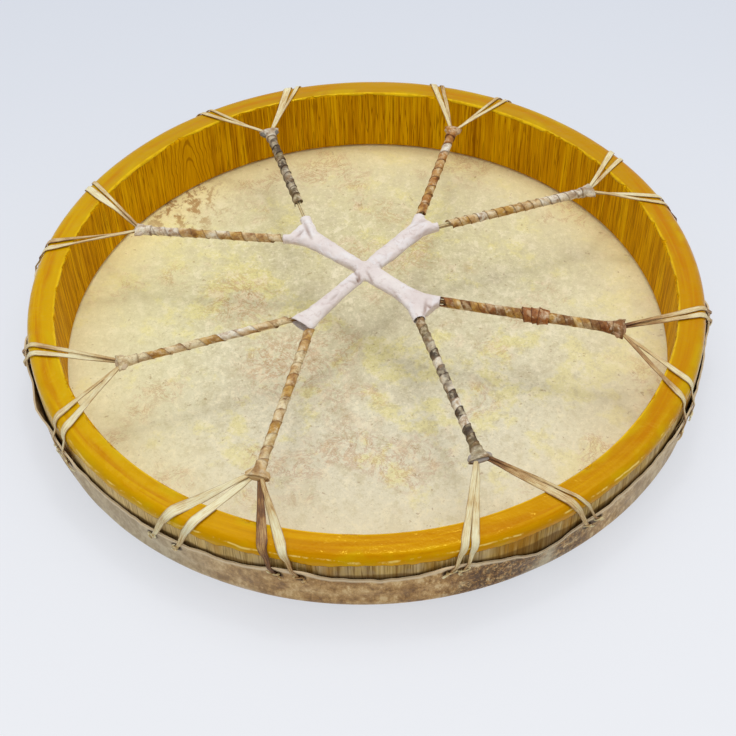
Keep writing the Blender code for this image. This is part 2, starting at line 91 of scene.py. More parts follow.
print("noise at one place:", round(wobble(0.3, 0.6, 0.9), 3))

# %% [markdown]
# ## The camera
# The photograph looks down at the drum at just under 48 degrees, from about a metre away, and the
# drum leans a little in the frame. A camera is placed by three directions: its right, its up, and
# the one pointing back from what it looks at. We write these down as the columns of a matrix.

# %% Place the camera
LOOK_DOWN = math.radians(47.73)
LEAN = math.radians(-1.6)
CAMERA_DISTANCE = 1.0314
LOOK_AT = Vector((0.0002, -0.0357, 0.0))
FOCAL_LENGTH = 66.57

back = Vector((0, -math.cos(LOOK_DOWN), math.sin(LOOK_DOWN)))
level_up = Vector((0, math.sin(LOOK_DOWN), math.cos(LOOK_DOWN)))
level_right = Vector((1, 0, 0))
right = level_right * math.cos(LEAN) + level_up * math.sin(LEAN)
up = level_up * math.cos(LEAN) - level_right * math.sin(LEAN)
lens = bpy.data.cameras.new("camera")
lens.lens = FOCAL_LENGTH
camera = add("camera", lens)
camera.matrix_world = Matrix((right, up, back)).transposed().to_4x4()
camera.matrix_world.translation = LOOK_AT + back * CAMERA_DISTANCE
bpy.context.scene.camera = camera
print("camera at", [round(value, 3) for value in camera.matrix_world.translation])

# %% [markdown]
# ## A short way to write materials
# A material in Blender is a net of nodes. Written out in full it is long, so we keep a small class
# that makes a node, plugs in its wires and hands back the result. Colours are easier to choose on
# the 0 to 255 scale of a paint chart, and a shader wants linear values, so we convert them.

# %% Colours from a chart
def chart(red, green, blue):
    """A chart colour, 0 to 255, as the linear values that a shader takes."""
    linear = []
    for value in (red, green, blue):
        share = value / 255
        linear.append(share / 12.92 if share <= 0.04045 else ((share + 0.055) / 1.055) ** 2.4)
    return (*linear, 1.0)


print("rim paint in linear values:", [round(v, 3) for v in chart(214, 150, 6)])

# %% A finish and its nodes
class Finish:
    """A material on the drum, built up from a few kinds of node."""

    def __init__(self, name, roughness, shine=0.5):
        self.material = bpy.data.materials.new(name)
        self.material.use_nodes = True
        self.tree = self.material.node_tree
        self.shader = self.tree.nodes["Principled BSDF"]
        self.shader.inputs["Roughness"].default_value = roughness
        self.shader.inputs["Specular IOR Level"].default_value = shine
        self.place = self.node("TexCoord").outputs["Object"]

    def node(self, kind, wires=None, **settings):
        node = self.tree.nodes.new("ShaderNode" + kind)
        for key, value in settings.items():
            setattr(node, key, value)
        for key, value in (wires or {}).items():
            if isinstance(value, bpy.types.NodeSocket):
                self.tree.links.new(value, node.inputs[key])
            else:
                node.inputs[key].default_value = value
        return node

    def sum(self, operation, first, second=0.0, clamp=False):
        wires = {0: first, 1: second}
        return self.node("Math", wires, operation=operation, use_clamp=clamp).outputs[0]

    def times(self, first, second):
        return self.sum("MULTIPLY", first, second)

    def plus(self, first, second, clamp=False):
        return self.sum("ADD", first, second, clamp)

    def minus(self, first, second):
        return self.sum("SUBTRACT", first, second)

    def off(self, value, middle):
        """How far a value is from a middle, to either side."""
        return self.sum("ABSOLUTE", self.minus(value, middle))

    def joined(self, *numbers):
        return self.node("CombineXYZ", dict(enumerate(numbers))).outputs[0]

    def distance(self, point, other):
        wires = {0: point, 1: other}
        return self.node("VectorMath", wires, operation="DISTANCE").outputs["Value"]

    def polar(self):
        """The place's three axes, its point in plan and how far that is from the drum's axis."""
        axes = self.node("SeparateXYZ", {0: self.place}).outputs
        plan = self.joined(axes["X"], axes["Y"])
        return axes, plan, self.node("VectorMath", {0: plan}, operation="LENGTH").outputs["Value"]

    def stretched(self, scale, turn=0.0):
        wires = {"Vector": self.place, "Scale": scale, "Rotation": (0, 0, math.radians(turn))}
        return self.node("Mapping", wires).outputs[0]

    def cloud(self, scale, detail=4.0, rough=0.55, vector=None, twist=0.0):
        wires = {"Vector": vector or self.place, "Scale": scale, "Detail": detail,
                 "Roughness": rough, "Distortion": twist}
        return self.node("TexNoise", wires).outputs["Fac"]

    def between(self, value, low, high, start=0.0, end=1.0):
        wires = {"Value": value, "From Min": low, "From Max": high, "To Min": start, "To Max": end}
        return self.node("MapRange", wires, interpolation_type="SMOOTHSTEP").outputs[0]

    def shades(self, value, stops):
        ramp = self.node("ValToRGB", {"Fac": value})
        points = ramp.color_ramp.elements
        while len(points) < len(stops):
            points.new(0.5)
        for point, (position, colour) in zip(points, stops):
            point.position = position
            point.color = chart(*colour)
        return ramp.outputs["Color"]

    def mixed(self, share, first, second, blend="MIX"):
        """Mix two colours: of the net, from the chart (three numbers) or linear (four numbers)."""
        node = self.node("Mix", {0: share}, data_type="RGBA", blend_type=blend)
        for socket, value in ((node.inputs[6], first), (node.inputs[7], second)):
            if isinstance(value, bpy.types.NodeSocket):
                self.tree.links.new(value, socket)
            else:
                socket.default_value = chart(*value) if len(value) == 3 else value
        return node.outputs[2]

    def washed(self, base, layers):
        """Lay washes over a base: value, where the wash begins and is full, how strong, colour."""
        for value, low, high, amount, tint, *blend in layers:
            base = self.mixed(self.between(value, low, high, 0.0, amount), base, tint, *blend)
        return base

    def stored(self, name, output="Fac"):
        return self.node("Attribute", attribute_name=name).outputs[output]

    def raised(self, height, depth, below=None):
        wires = {"Height": height, "Distance": depth, "Strength": 1.0}
        if below:
            wires["Normal"] = below
        return self.node("Bump", wires).outputs[0]

    def wear(self, **sockets):
        for name, value in sockets.items():
            self.tree.links.new(value, self.shader.inputs[name.replace("_", " ")])
        return self.material


print("finishes are built from", Finish.__name__)

# %% [markdown]
# ## The stage
# The drum lies on a pale seamless floor. Light comes from a large soft lamp, overhead and a little
# behind, with a small bright one in its middle for crisp highlights in the paint. Floor and drum
# share the light, so a soft shadow grounds the drum. The world adds an even fill, and where the
# camera looks past the floor it sees a pale wall.

# %% A pale floor
FLOOR_HALF, FLOOR_LEVEL, FLOOR_GLOW = 4.0, -0.0006, 0.70
NEAR_TONE, FAR_TONE = (238, 240, 245), (213, 218, 228)
floor_shape = bmesh.new()
bmesh.ops.create_grid(floor_shape, x_segments=2, y_segments=2, size=FLOOR_HALF)
bmesh.ops.translate(floor_shape, verts=floor_shape.verts, vec=(0, 0, FLOOR_LEVEL))
floor = add("floor", mesh_of("floor", floor_shape))
paper = Finish("seamless_paper", 0.9, 0.1)
away = paper.node("SeparateXYZ", {0: paper.place}).outputs["Y"]
pale = paper.shades(paper.between(away, -0.5, 0.7), [(0.0, NEAR_TONE), (1.0, FAR_TONE)])
path = paper.node("LightPath").outputs
seen = paper.sum("MAXIMUM", path["Is Glossy Ray"], path["Is Transmission Ray"])
seen = paper.sum("MAXIMUM", seen, path["Is Camera Ray"])
glow = paper.node("Emission", {"Color": pale, "Strength": 1.0}).outputs[0]
floor.data.materials.append(paper.wear(Base_Color=pale))
faint = paper.node("MixShader", {
    0: paper.times(seen, FLOOR_GLOW), 1: paper.shader.outputs[0], 2: glow,
})
paper.tree.links.new(faint.outputs[0], paper.tree.nodes["Material Output"].inputs["Surface"])
floor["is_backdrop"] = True
print("floor", floor.dimensions[:2])

# %% Lamp and world
def softbox(name, wide, deep, watts, place):
    """A rectangular lamp that faces the drum."""
    lamp = bpy.data.lights.new(name, "AREA")
    lamp.shape = "RECTANGLE"
    lamp.size = wide
    lamp.size_y = deep
    lamp.energy = watts
    holder = add(name, lamp)
    holder.location = place
    holder.rotation_euler = (-Vector(place)).to_track_quat("-Z", "Y").to_euler()
    return watts


FILL_STRENGTH = 0.62
power = softbox("softbox", 1.7, 1.2, 13.5, (0.1, 0.45, 1.75))
power += softbox("softbox_bright_middle", 0.30, 0.22, 3.5, (0.1, 0.44, 1.70))
world = bpy.data.worlds.new("room")
bpy.context.scene.world = world
world.use_nodes = True
sky = world.node_tree
path = sky.nodes.new("ShaderNodeLightPath")
seen = path.outputs["Is Camera Ray"]
for ray in ("Is Glossy Ray", "Is Transmission Ray"):
    either = sky.nodes.new("ShaderNodeMath")
    either.operation = "MAXIMUM"
    sky.links.new(seen, either.inputs[0])
    sky.links.new(path.outputs[ray], either.inputs[1])
    seen = either.outputs[0]
fill = sky.nodes["Background"]
fill.inputs["Color"].default_value = (1.0, 1.0, 1.0, 1.0)
fill.inputs["Strength"].default_value = FILL_STRENGTH
wall = sky.nodes.new("ShaderNodeBackground")
wall.inputs["Color"].default_value = chart(*FAR_TONE)
chosen = sky.nodes.new("ShaderNodeMixShader")
sky.links.new(seen, chosen.inputs[0])
sky.links.new(fill.outputs[0], chosen.inputs[1])
sky.links.new(wall.outputs[0], chosen.inputs[2])
sky.links.new(chosen.outputs[0], sky.nodes["World Output"].inputs["Surface"])
bpy.context.scene.view_settings.view_transform = "Standard"
print("lamps of", power, "W and a fill of", FILL_STRENGTH)

# %% [markdown]
# ## From a mesh in the making to a piece of the drum
# A bmesh is a mesh on the workbench. When it is ready it becomes an object, gets its finish, and
# rides on the drum. It also takes the place of one or more plain pieces, which are then hidden.
# Two more steps come up often: a sheet gets its thickness, and a tool is taken away from a piece.

# %% Put a piece in place
def soften(mesh, degrees):
    """Shade a mesh smooth, apart from edges sharper than an angle."""
    mesh.shade_smooth()
    mesh.set_sharp_from_angle(angle=math.radians(degrees))


def put(name, shape, finish, stands_for, smooth=50):
    """Turn a bmesh into an object of the drum that stands for some of the plain pieces."""
    piece = add(name, mesh_of(name, shape))
    soften(piece.data, smooth)
    piece.data.materials.append(finish)
    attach(piece, "root")
    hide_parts(*stands_for)
    return piece


def fix(piece):
    """Apply a piece's modifiers, so that what they make can be shaped further."""
    graph = bpy.context.evaluated_depsgraph_get()
    made = bpy.data.meshes.new_from_object(piece.evaluated_get(graph))
    piece.modifiers.clear()
    piece.data = made
    return len(made.polygons)


def thicken(piece, thickness, even=False):
    """Give a sheet its thickness, inwards, and return how many faces it has then."""
    sheet = piece.modifiers.new("thickness", "SOLIDIFY")
    sheet.thickness = thickness
    sheet.offset = -1
    sheet.use_even_offset = even
    return fix(piece)


def cut(piece, tool, overlapping=False):
    """Take a tool away from a piece, and return how many faces the piece has then."""
    blade = add("tool", mesh_of("tool", tool))
    taken = piece.modifiers.new("cut", "BOOLEAN")
    taken.operation = "DIFFERENCE"
    taken.solver = "EXACT"
    taken.use_self = overlapping
    taken.object = blade
    faces = fix(piece)
    bpy.data.objects.remove(blade)
    return faces


# %% [markdown]
# ## The hoop
# The hoop is a strip of ash or oak bent into a ring, 50 cm across and a little over 2 cm thick. Its
# lower corner is rounded well over, where the skin bends round it, and its upper one less. A shape
# like this could be a thickened cylinder, but turning its cross-section keeps each rounding under
# control: we draw the section as one face, round its corners, drop the face and spin the outline.

# %% The hoop's section
HOOP_RADIUS = 0.2500
HOOP_INSIDE = 0.2292
RIM_HEIGHT = 0.0584
RIM_ROUND = 0.0060
EDGE_ROUND = 0.0130
INNER_FOOT_ROUND, INNER_RIM_ROUND = 0.0040, 0.0022
HOOP_FOOT = 0.0015
hoop = bmesh.new()
corners = [hoop.verts.new((r, 0, z)) for r, z in (
    (HOOP_INSIDE, HOOP_FOOT), (HOOP_RADIUS, HOOP_FOOT),
    (HOOP_RADIUS, RIM_HEIGHT), (HOOP_INSIDE, RIM_HEIGHT),
)]
bmesh.ops.contextual_create(hoop, geom=corners)
for corner, rounding in zip(corners, (INNER_FOOT_ROUND, EDGE_ROUND, RIM_ROUND, INNER_RIM_ROUND)):
    bmesh.ops.bevel(
        hoop, geom=[corner], offset=rounding, offset_type="OFFSET", segments=6,
        profile=0.5, affect="VERTICES", material=-1,
    )
LONG_EDGE = 0.0040
straight = [edge for edge in hoop.edges if edge.calc_length() > LONG_EDGE]
bmesh.ops.subdivide_edges(hoop, edges=straight, cuts=7)
bmesh.ops.delete(hoop, geom=hoop.faces[:], context="FACES_ONLY")
print("section of", len(hoop.verts), "points")

# %% Spin the hoop and let it be a little uneven
HOOP_STEPS = 420
MERGE_WITHIN = 0.00001
UNEVEN_FROM, UNEVEN_RIM, HOLLOWS = 0.045, 0.00022, 0.0005
bmesh.ops.spin(
    hoop, geom=hoop.verts[:] + hoop.edges[:], cent=(0, 0, 0), axis=(0, 0, 1),
    angle=math.tau, steps=HOOP_STEPS, use_merge=True, use_duplicate=False,
)
bmesh.ops.remove_doubles(hoop, verts=hoop.verts, dist=MERGE_WITHIN)
bmesh.ops.recalc_face_normals(hoop, faces=hoop.faces)
for vert in hoop.verts:
    lump = noise.noise(vert.co * 34)
    swell = noise.noise(vert.co * 9 + Vector((5, 0, 0)))
    if vert.co.z > UNEVEN_FROM:
        level = (vert.co.z - UNEVEN_FROM) / (RIM_HEIGHT - UNEVEN_FROM)
        vert.co.z += UNEVEN_RIM * lump * level
    vert.co.xy -= vert.co.xy.normalized() * max(0.0, swell) * HOLLOWS
print("hoop of", len(hoop.faces), "faces")

# %% [markdown]
# ## The hoop's finish
# Three surfaces meet on the hoop. The rim is painted a glossy ochre with a brush that went round
# it. A broken bright line near its outer edge at the front and a paler line along its inner edge
# are painted highlights, and its colour changes from side to side as painted light and shade. The
# inside is stained, so the upright grain shows, with one place where the saw cut through the rings
# at a low angle and left nested arches.
# The outside is bare and paler, lighter towards the front left as painted light, and darker in a
# band just above the skin's edge as painted shade. Three materials would need seams in the mesh.
# One is enough if masks worked out from height and radius choose the surface.

# %% Where on the hoop a point is
wood = Finish("hoop_wood", 0.38, 0.30)
wood.shader.inputs["Specular Tint"].default_value = (1.0, 0.80, 0.06, 1.0)
axes, _, radius = wood.polar()
height = axes["Z"]
cosine = wood.sum("DIVIDE", axes["X"], radius)
sine = wood.sum("DIVIDE", axes["Y"], radius)
ragged = wood.cloud(150, 3)
drips = wood.cloud(24, 3, 0.6, wood.stretched((1, 1, 0.25)))
slant = wood.between(radius, HOOP_INSIDE, HOOP_RADIUS, 0.0572, 0.0512)
brushed_to = wood.plus(slant, wood.between(ragged, 0.3, 0.7, -0.0006, 0.0006))
brushed_to = wood.plus(brushed_to, wood.between(drips, 0.35, 0.65, 0.0010, -0.0012))
painted = wood.between(wood.minus(height, brushed_to), -0.0003, 0.0003)
inside = wood.between(radius, 0.2345, 0.2315)
print("paint ends between 51 and 57 mm up")

# %% Upright grain and its arches
upright = wood.stretched((1, 1, 0.030))
fine = wood.cloud(900, 2, 0.6, upright)
medium = wood.cloud(330, 3, 0.6, upright, 0.3)
broad = wood.cloud(85, 2, 0.5, upright, 0.4)
ARCH_AT = math.radians(129.6)
ARCH_STEEPNESS, ARCH_TOP, ARCH_RATIO = 484.0, 0.035, 1.5
ahead = wood.times(axes["X"], math.cos(ARCH_AT))
ahead = wood.plus(ahead, wood.times(axes["Y"], math.sin(ARCH_AT)))
aside = wood.times(axes["Y"], math.cos(ARCH_AT))
aside = wood.minus(aside, wood.times(axes["X"], math.sin(ARCH_AT)))
aside = wood.plus(aside, wood.between(wood.cloud(60, 2), 0.2, 0.8, -0.0012, 0.0012))
arch = wood.times(wood.times(aside, aside), ARCH_STEEPNESS)
arch = wood.plus(arch, height)
phase = wood.sum("LOGARITHM", wood.sum("DIVIDE", arch, ARCH_TOP), ARCH_RATIO)
nearest = wood.off(phase, wood.sum("ROUND", phase))
arch_line = wood.times(wood.between(nearest, 0.17, 0.03), wood.between(phase, -0.5, -0.2))
near = wood.between(wood.sum("ABSOLUTE", aside), 0.026, 0.018)
near = wood.times(near, wood.between(ahead, 0.10, 0.2))
plain = wood.plus(wood.times(fine, 0.26), wood.times(medium, 0.48))
plain = wood.plus(plain, wood.times(broad, 0.26))
figured = wood.plus(wood.times(fine, 0.30), 0.375)
figured = wood.minus(figured, wood.times(arch_line, 0.17))
grain = wood.node("Mix", {0: near, 2: plain, 3: figured}, data_type="FLOAT").outputs[0]
lines = wood.cloud(560, 2, 0.5, wood.stretched((1, 1, 0.022)), 0.2)
growth = wood.between(wood.off(lines, 0.5), 0.040, 0.006)
growth = wood.times(growth, wood.minus(1.0, near))
print("arches centred at", round(math.degrees(ARCH_AT), 1), "degrees")

# %% Colours of the three surfaces
RIM_MIDDLE, HIGHLIGHT_LINE_RADIUS = 0.2400, 0.2491
stained = wood.shades(grain, [
    (0.39, (180, 121, 1)), (0.47, (204, 144, 2)), (0.53, (219, 161, 3)),
    (0.61, (236, 184, 8)),
])
stained = wood.mixed(wood.times(growth, 0.72), stained, (136, 80, 0))
bare = wood.shades(grain, [
    (0.40, (140, 104, 48)), (0.47, (178, 146, 82)), (0.54, (200, 170, 106)),
    (0.62, (220, 194, 138)),
])
# The second wash lightens the bare wood towards the front left: painted light.
bare = wood.washed(bare, [
    (wood.cloud(40, 3, 0.6), 0.48, 0.62, 0.45, (168, 150, 124)),
    (cosine, -0.15, -0.6, 0.58, (232, 206, 146)),
])
stain_drips = wood.between(drips, 0.50, 0.62, 0.0, 0.8)
drip_reach = wood.between(height, 0.030, 0.050, 0.25, 1.0)
bare = wood.mixed(wood.times(stain_drips, drip_reach), bare, (168, 116, 22))
bare = wood.mixed(wood.times(growth, 0.60), bare, (104, 70, 28))
# Painted shade: the bare wood darkens in a band just above the skin's edge, where the gap under the
# skirt is in shade.
skirt_gap_shade = wood.plus(height, wood.between(drips, 0.4, 0.6, -0.0012, 0.0012))
bare = wood.washed(bare, [(skirt_gap_shade, 0.0425, 0.0400, 0.65, (96, 64, 26))])
round_rim = wood.joined(wood.times(cosine, 2.2), wood.times(sine, 2.2), wood.times(radius, 230.0))
strokes = wood.cloud(1.0, 5, 0.6, round_rim)
paint = wood.shades(strokes, [
    (0.32, (188, 124, 0)), (0.50, (203, 140, 1)), (0.68, (213, 155, 2)),
])
# Painted light and shade by side: the paint is yellower on the left and darker on the right and at
# the back.
paint = wood.washed(paint, [
    (cosine, -0.1, -0.9, 0.75, (208, 164, 1)), (cosine, 0.1, 0.9, 0.7, (190, 135, 3)),
    (sine, 0.0, 0.9, 0.7, (182, 138, 6)),
])
wander = wood.between(wood.cloud(14, 3), 0.3, 0.7, -0.004, 0.004)
off_centre = wood.off(wood.plus(radius, wander), RIM_MIDDLE)
thick_paint = wood.between(off_centre, 0.0055, 0.0010)
thick_paint = wood.times(thick_paint, wood.between(strokes, 0.62, 0.40))
thick_paint = wood.times(thick_paint, wood.between(wood.cloud(9, 2), 0.36, 0.56))
paint = wood.mixed(wood.times(thick_paint, 0.8), paint, (190, 118, 1))
thin_paint = wood.between(wood.cloud(30, 3), 0.48, 0.64)
thin_paint = wood.times(thin_paint, wood.between(off_centre, 0.004, 0.008))
paint = wood.mixed(wood.times(thin_paint, 0.5), paint, (204, 172, 6))
# Painted highlight: a lighter yellow line along the rim's inner edge.
inner_edge_highlight = wood.between(ragged, 0.36, 0.56, 0.35, 0.85)
inner_edge_highlight = wood.times(wood.between(radius, 0.2316, 0.2300), inner_edge_highlight)
paint = wood.mixed(inner_edge_highlight, paint, (238, 196, 24))
# Painted highlight: a thin, broken, pale line along the rim's outer edge, at the front only.
highlight_line_at = wood.plus(radius, wood.between(wood.cloud(22, 3), 0.3, 0.7, -0.0006, 0.0006))
highlight_line = wood.between(wood.off(highlight_line_at, HIGHLIGHT_LINE_RADIUS), 0.00045, 0.0001)
highlight_line = wood.times(highlight_line, wood.between(wood.cloud(48, 5, 0.7), 0.44, 0.54))
highlight_line = wood.times(highlight_line, wood.between(sine, -0.35, -0.70))
paint = wood.mixed(wood.times(highlight_line, 0.70), paint, (255, 228, 130))
colour = wood.mixed(inside, bare, stained)
colour = wood.mixed(painted, colour, paint)
print("three finishes mixed by", painted.node.name, "and", inside.node.name)

# %% Brush marks, pores and gloss
pores = wood.times(wood.minus(1.0, painted), fine)
dents = wood.cloud(58, 4, 0.6)
marks = wood.plus(wood.times(strokes, wood.times(painted, 0.5)), pores)
relief = wood.raised(marks, 0.00022)
relief = wood.raised(wood.times(dents, painted), 0.0014, relief)
smooth_paint = wood.between(strokes, 0.3, 0.7, 0.07, 0.14)
gloss = wood.node("Mix", {0: painted, 2: 0.55, 3: smooth_paint}, data_type="FLOAT").outputs[0]
shine = wood.between(painted, 0.0, 1.0, 0.02, 0.24)
hoop_finish = wood.wear(
    Base_Color=colour, Normal=relief, Roughness=gloss, Specular_IOR_Level=shine,
)
hoop_piece = put("hoop_wood_ring", hoop, hoop_finish, ["hoop"])
print(hoop_piece.name, [round(v, 4) for v in hoop_piece.dimensions])

# %% [markdown]
# ## How the laces are laid out
# Eight spokes run from the grip, two from each arm. Each ends in a fork with two legs, and each leg
# is one lace doubled: it goes out over the rim, through a hole in the skin's edge, along behind it
# and back through a second hole. The same numbers place the holes in the skin, so they come first.

# %% The numbers of the lacing
GRIP_CENTRE = Vector((0.0007, 0.0090))
ARM_DIRECTIONS = (47.0, 138.6, 229.1, 316.7)
ARM_LENGTHS = (0.0587, 0.0545, 0.0608, 0.0460)
WEB_LENGTHS = (0.0125, 0.0160, 0.0130, 0.0185)
FORK_DIRECTIONS = (27.5, 66.3, 113.3, 160.4, 204.2, 247.7, 292.9, 342.1)
FORK_RADII = (0.200, 0.188, 0.192, 0.183, 0.189, 0.193, 0.183, 0.188)
LEG_DIRECTIONS = (
    (33.4, 18.9), (74.2, 60.8), (122.0, 103.5), (169.0, 151.7),
    (212.1, 194.4), (255.2, 240.3), (302.2, 284.3), (350.0, 331.8),
)
STRAND_SPREADS = (
    (2.5, 2.0), (1.8, 1.8), (1.8, 2.0), (2.0, 1.9),
    (3.0, 2.1), (3.0, 4.0), (1.6, 1.6), (1.7, 3.7),
)
TIP_HEIGHTS = (
    (0.046, 0.046), (0.046, 0.046), (0.046, 0.046), (0.046, 0.046),
    (0.046, 0.044), (0.047, 0.041), (0.040, 0.047), (0.046, 0.043),
)
FINGER_LENGTHS = (0.0130, 0.0118, 0.0200, 0.0180, 0.0120, 0.0105, 0.0180, 0.0165)
BARE_LENGTHS = (0.0075, 0.0, 0.0175, 0.0, 0.0, 0.0, 0.0, 0.0)
STRAND_SIDE, STRAND_GAP = 0.0012, 0.0002
LACE_THICKNESS = 0.0010
FAR_DRIFT, NEAR_DRIFT = 2.8, 2.4
GAP = 0.0003
BUNDLE_HALF, LACES_START = 0.00175, 0.0063
LACE_HEIGHT = RIM_HEIGHT + GAP + LACE_THICKNESS / 2
Z = Vector((0, 0, 1))
print("spokes:", len(FORK_DIRECTIONS), "legs:", 2 * len(LEG_DIRECTIONS))

# %% Directions of legs and holes
def direction(degrees):
    return Vector((math.cos(math.radians(degrees)), math.sin(math.radians(degrees))))


def cylindrical(radius, degrees, height):
    return Vector((*(radius * direction(degrees)), height))


def strand_angles(leg, outward):
    """Directions of a leg's far and near strands at the rim's outer edge."""
    middle, spread, _ = leg
    return middle + outward * spread / 2, middle - outward * spread / 2


def hole_angles(leg, outward):
    """Directions of a leg's holes: the strands keep their slant down the outside."""
    far, near = strand_angles(leg, outward)
    return far + outward * FAR_DRIFT, near + outward * NEAR_DRIFT


def all_legs():
    """Every leg: spoke number, letter, (direction, spread, tip height) and the side it leans to."""
    for index, pairs in enumerate(zip(LEG_DIRECTIONS, STRAND_SPREADS, TIP_HEIGHTS)):
        for letter, leg, outward in zip("ab", zip(*pairs), (1, -1)):
            yield index + 1, letter, leg, outward


print("holes:", sum(len(hole_angles(leg, outward)) for _, _, leg, outward in all_legs()))

# %% [markdown]
# ## The drum head
# The head is a raw hide that was soaked, laid over the hoop, laced and left to dry. It is flat
# below, bends round the hoop's lower corner and stands up outside as a skirt, which is pulled up
# into a point at each pair of lace holes and hangs lower in between. We spin one line, the outer
# face of the hide, and then move each skirt point to the height and radius that its place asks for.

# %% The skirt's height and lean
HIDE = 0.0012
SKIRT_START = 0.0210
SKIRT_LOW = 0.0392
SKIRT_TIP = 0.0460
HOLE_BELOW_EDGE = 0.0060
HUG_RADIUS = HOOP_RADIUS + GAP
FLARE_START = (SKIRT_START + SKIRT_LOW) / 2
SKIRT_LEAN, SKIRT_STAND, HOLD_REACH = 0.0015, 0.0005, 0.0135
DIP_DIRECTION, DIP_SPREAD, DIP_DEPTH = 296.5, 6.0, 0.0095
BULGE_DIRECTION, BULGE_SPREAD, BULGE_DEPTH = 203.5, 3.6, 0.0036


def hill(value, middle, spread):
    """A smooth hill: 1 in the middle and near 0 beyond its spread."""
    return math.exp(-(((value - middle) / spread) ** 2))


def leg_hold(degrees, leg, outward):
    """How firmly a leg holds the hide up: 1 at its holes, near 0 away from them."""
    far, near = hole_angles(leg, outward)
    away = abs((degrees - (far + near) / 2 + 180) % 360 - 180)
    distance = math.radians(max(0.0, away - abs(far - near) / 2)) * HOOP_RADIUS
    return hill(distance, 0, HOLD_REACH)


def skirt_shape(degrees):
    """Pull, height of the free edge and bulge of the skirt in a direction."""
    low = SKIRT_LOW - DIP_DEPTH * hill(degrees, DIP_DIRECTION, DIP_SPREAD)
    pull, top = 0.0, low
    for _, _, leg, outward in all_legs():
        hold = leg_hold(degrees, leg, outward)
        pull = max(pull, hold)
        top = max(top, low + (leg[2] - low) * hold)
    return pull, top, BULGE_DEPTH * hill(degrees, BULGE_DIRECTION, BULGE_SPREAD)


def skirt_radius(height, pull, bulge=0.0):
    """Radius of the skirt's inner face: it leaves room for laces and leans out at its tips."""
    above = max(0.0, height - FLARE_START)
    leaning = SKIRT_LEAN * pull * above / (SKIRT_TIP - FLARE_START)
    stand = SKIRT_STAND + bulge * min(1.0, above / (SKIRT_LOW - FLARE_START))
    room = (LACE_THICKNESS + GAP) * min(1.0, pull * 1.8)
    return HUG_RADIUS + max(room, stand) + leaning


print("edge at a hole and between:", [round(skirt_shape(at)[1], 4) for at in (35.8, 46)])

# %% Spin the hide
head = bmesh.new()
rank = head.verts.layers.float.new("edge_level")
FLAT_RADII = [0.0, 0.006] + [0.012 * k for k in range(1, 20)] + [0.2335]
BEND_CENTRE = (HOOP_RADIUS - EDGE_ROUND, HOOP_FOOT + EDGE_ROUND)
BEND_RADIUS = EDGE_ROUND + GAP + HIDE
line = [(r, 0.0, 0.0) for r in FLAT_RADII]
for k in range(11):
    turn = math.radians(-90 + 90 * k / 10)
    across, rise = BEND_RADIUS * math.cos(turn), BEND_RADIUS * math.sin(turn)
    line.append((BEND_CENTRE[0] + across, BEND_CENTRE[1] + rise, 0.0))
SKIRT_ROWS = 14
line += [(BEND_CENTRE[0] + BEND_RADIUS, SKIRT_START, k / SKIRT_ROWS) for k in range(SKIRT_ROWS + 1)]
points = []
for r, z, level in line:
    point = head.verts.new((r, 0, z))
    point[rank] = level
    points.append(point)
for first, second in zip(points, points[1:]):
    bmesh.ops.contextual_create(head, geom=[first, second])
HEAD_STEPS = 720
bmesh.ops.spin(
    head, geom=head.verts[:] + head.edges[:], cent=(0, 0, 0), axis=(0, 0, 1),
    angle=math.tau, steps=HEAD_STEPS, use_merge=False, use_duplicate=False,
)
print("hide of", len(head.faces), "faces")

# %% Pull up the skirt and let it cockle
for vert in head.verts:
    level = vert[rank]
    place = vert.co.copy()
    degrees = math.degrees(math.atan2(place.y, place.x)) % 360
    if level == 0:
        if place.z < 0.001:
            vert.co.z += 0.00012 + 0.00012 * noise.noise(place * 28)
        elif place.z > 0.006:
            dent = wobble(*(direction(degrees) * 9), place.z * 30)
            vert.co.xy -= vert.co.xy.normalized() * 0.0009 * max(0.0, dent)
        continue
    pull, top, bulge = skirt_shape(degrees)
    ragged_edge = wobble(*(direction(degrees) * 20), 1.0)
    nicks = wobble(*(direction(degrees) * 64), 4.0)
    top += (0.0011 * ragged_edge + 0.0004 * nicks) * (1 - pull)
    z = SKIRT_START + level * (top - SKIRT_START)
    crease = wobble(*(direction(degrees) * 30), z * 50)
    foot = BEND_CENTRE[0] + BEND_RADIUS
    r = skirt_radius(z, pull, bulge) + HIDE
    r = foot + (r - foot) * min(1.0, level * 3)
    r += (0.0010 * max(-0.3, crease) + 0.0004) * level * (1 - pull)
    vert.co = cylindrical(r, degrees, z)
bmesh.ops.remove_doubles(head, verts=head.verts, dist=MERGE_WITHIN)
bmesh.ops.recalc_face_normals(head, faces=head.faces)
outer = max(head.faces, key=lambda face: face.calc_center_median().xy.length)
if outer.normal.xy.dot(outer.calc_center_median().xy) < 0:
    bmesh.ops.reverse_faces(head, faces=head.faces)
print("skirt reaches", round(max(vert.co.z for vert in head.verts) * 1000, 1), "mm up")

# %% [markdown]
# ## The hide's finish
# Dried rawhide is patchy: cream where it was scraped thin, yellow where fat stayed in, with rusty
# veins, and its cut edge shows pale. Outside, the hair was scraped off less carefully, so the skirt
# is browner, and dark bristles are left in one place. Clouds of noise at four sizes are laid over
# each other like washes, because no single noise has both the wide stains and the fine grain.

# %% Washes on the membrane
rawhide = Finish("head_rawhide", 0.55, 0.15)
spot, ground, from_axis = rawhide.polar()
wide = rawhide.cloud(8, 3, 0.55)
middling = rawhide.cloud(27, 10, 0.70, None, 0.1)
small = rawhide.cloud(95, 8, 0.75, rawhide.stretched((1, 0.8, 1), 30), 0.3)
grainy = rawhide.cloud(330, 5, 0.8)
warm = rawhide.between(spot["Y"], -0.20, 0.16)
cream = rawhide.mixed(warm, (226, 221, 200), (215, 207, 160))
fatty = rawhide.plus(middling, rawhide.times(wide, 0.5))
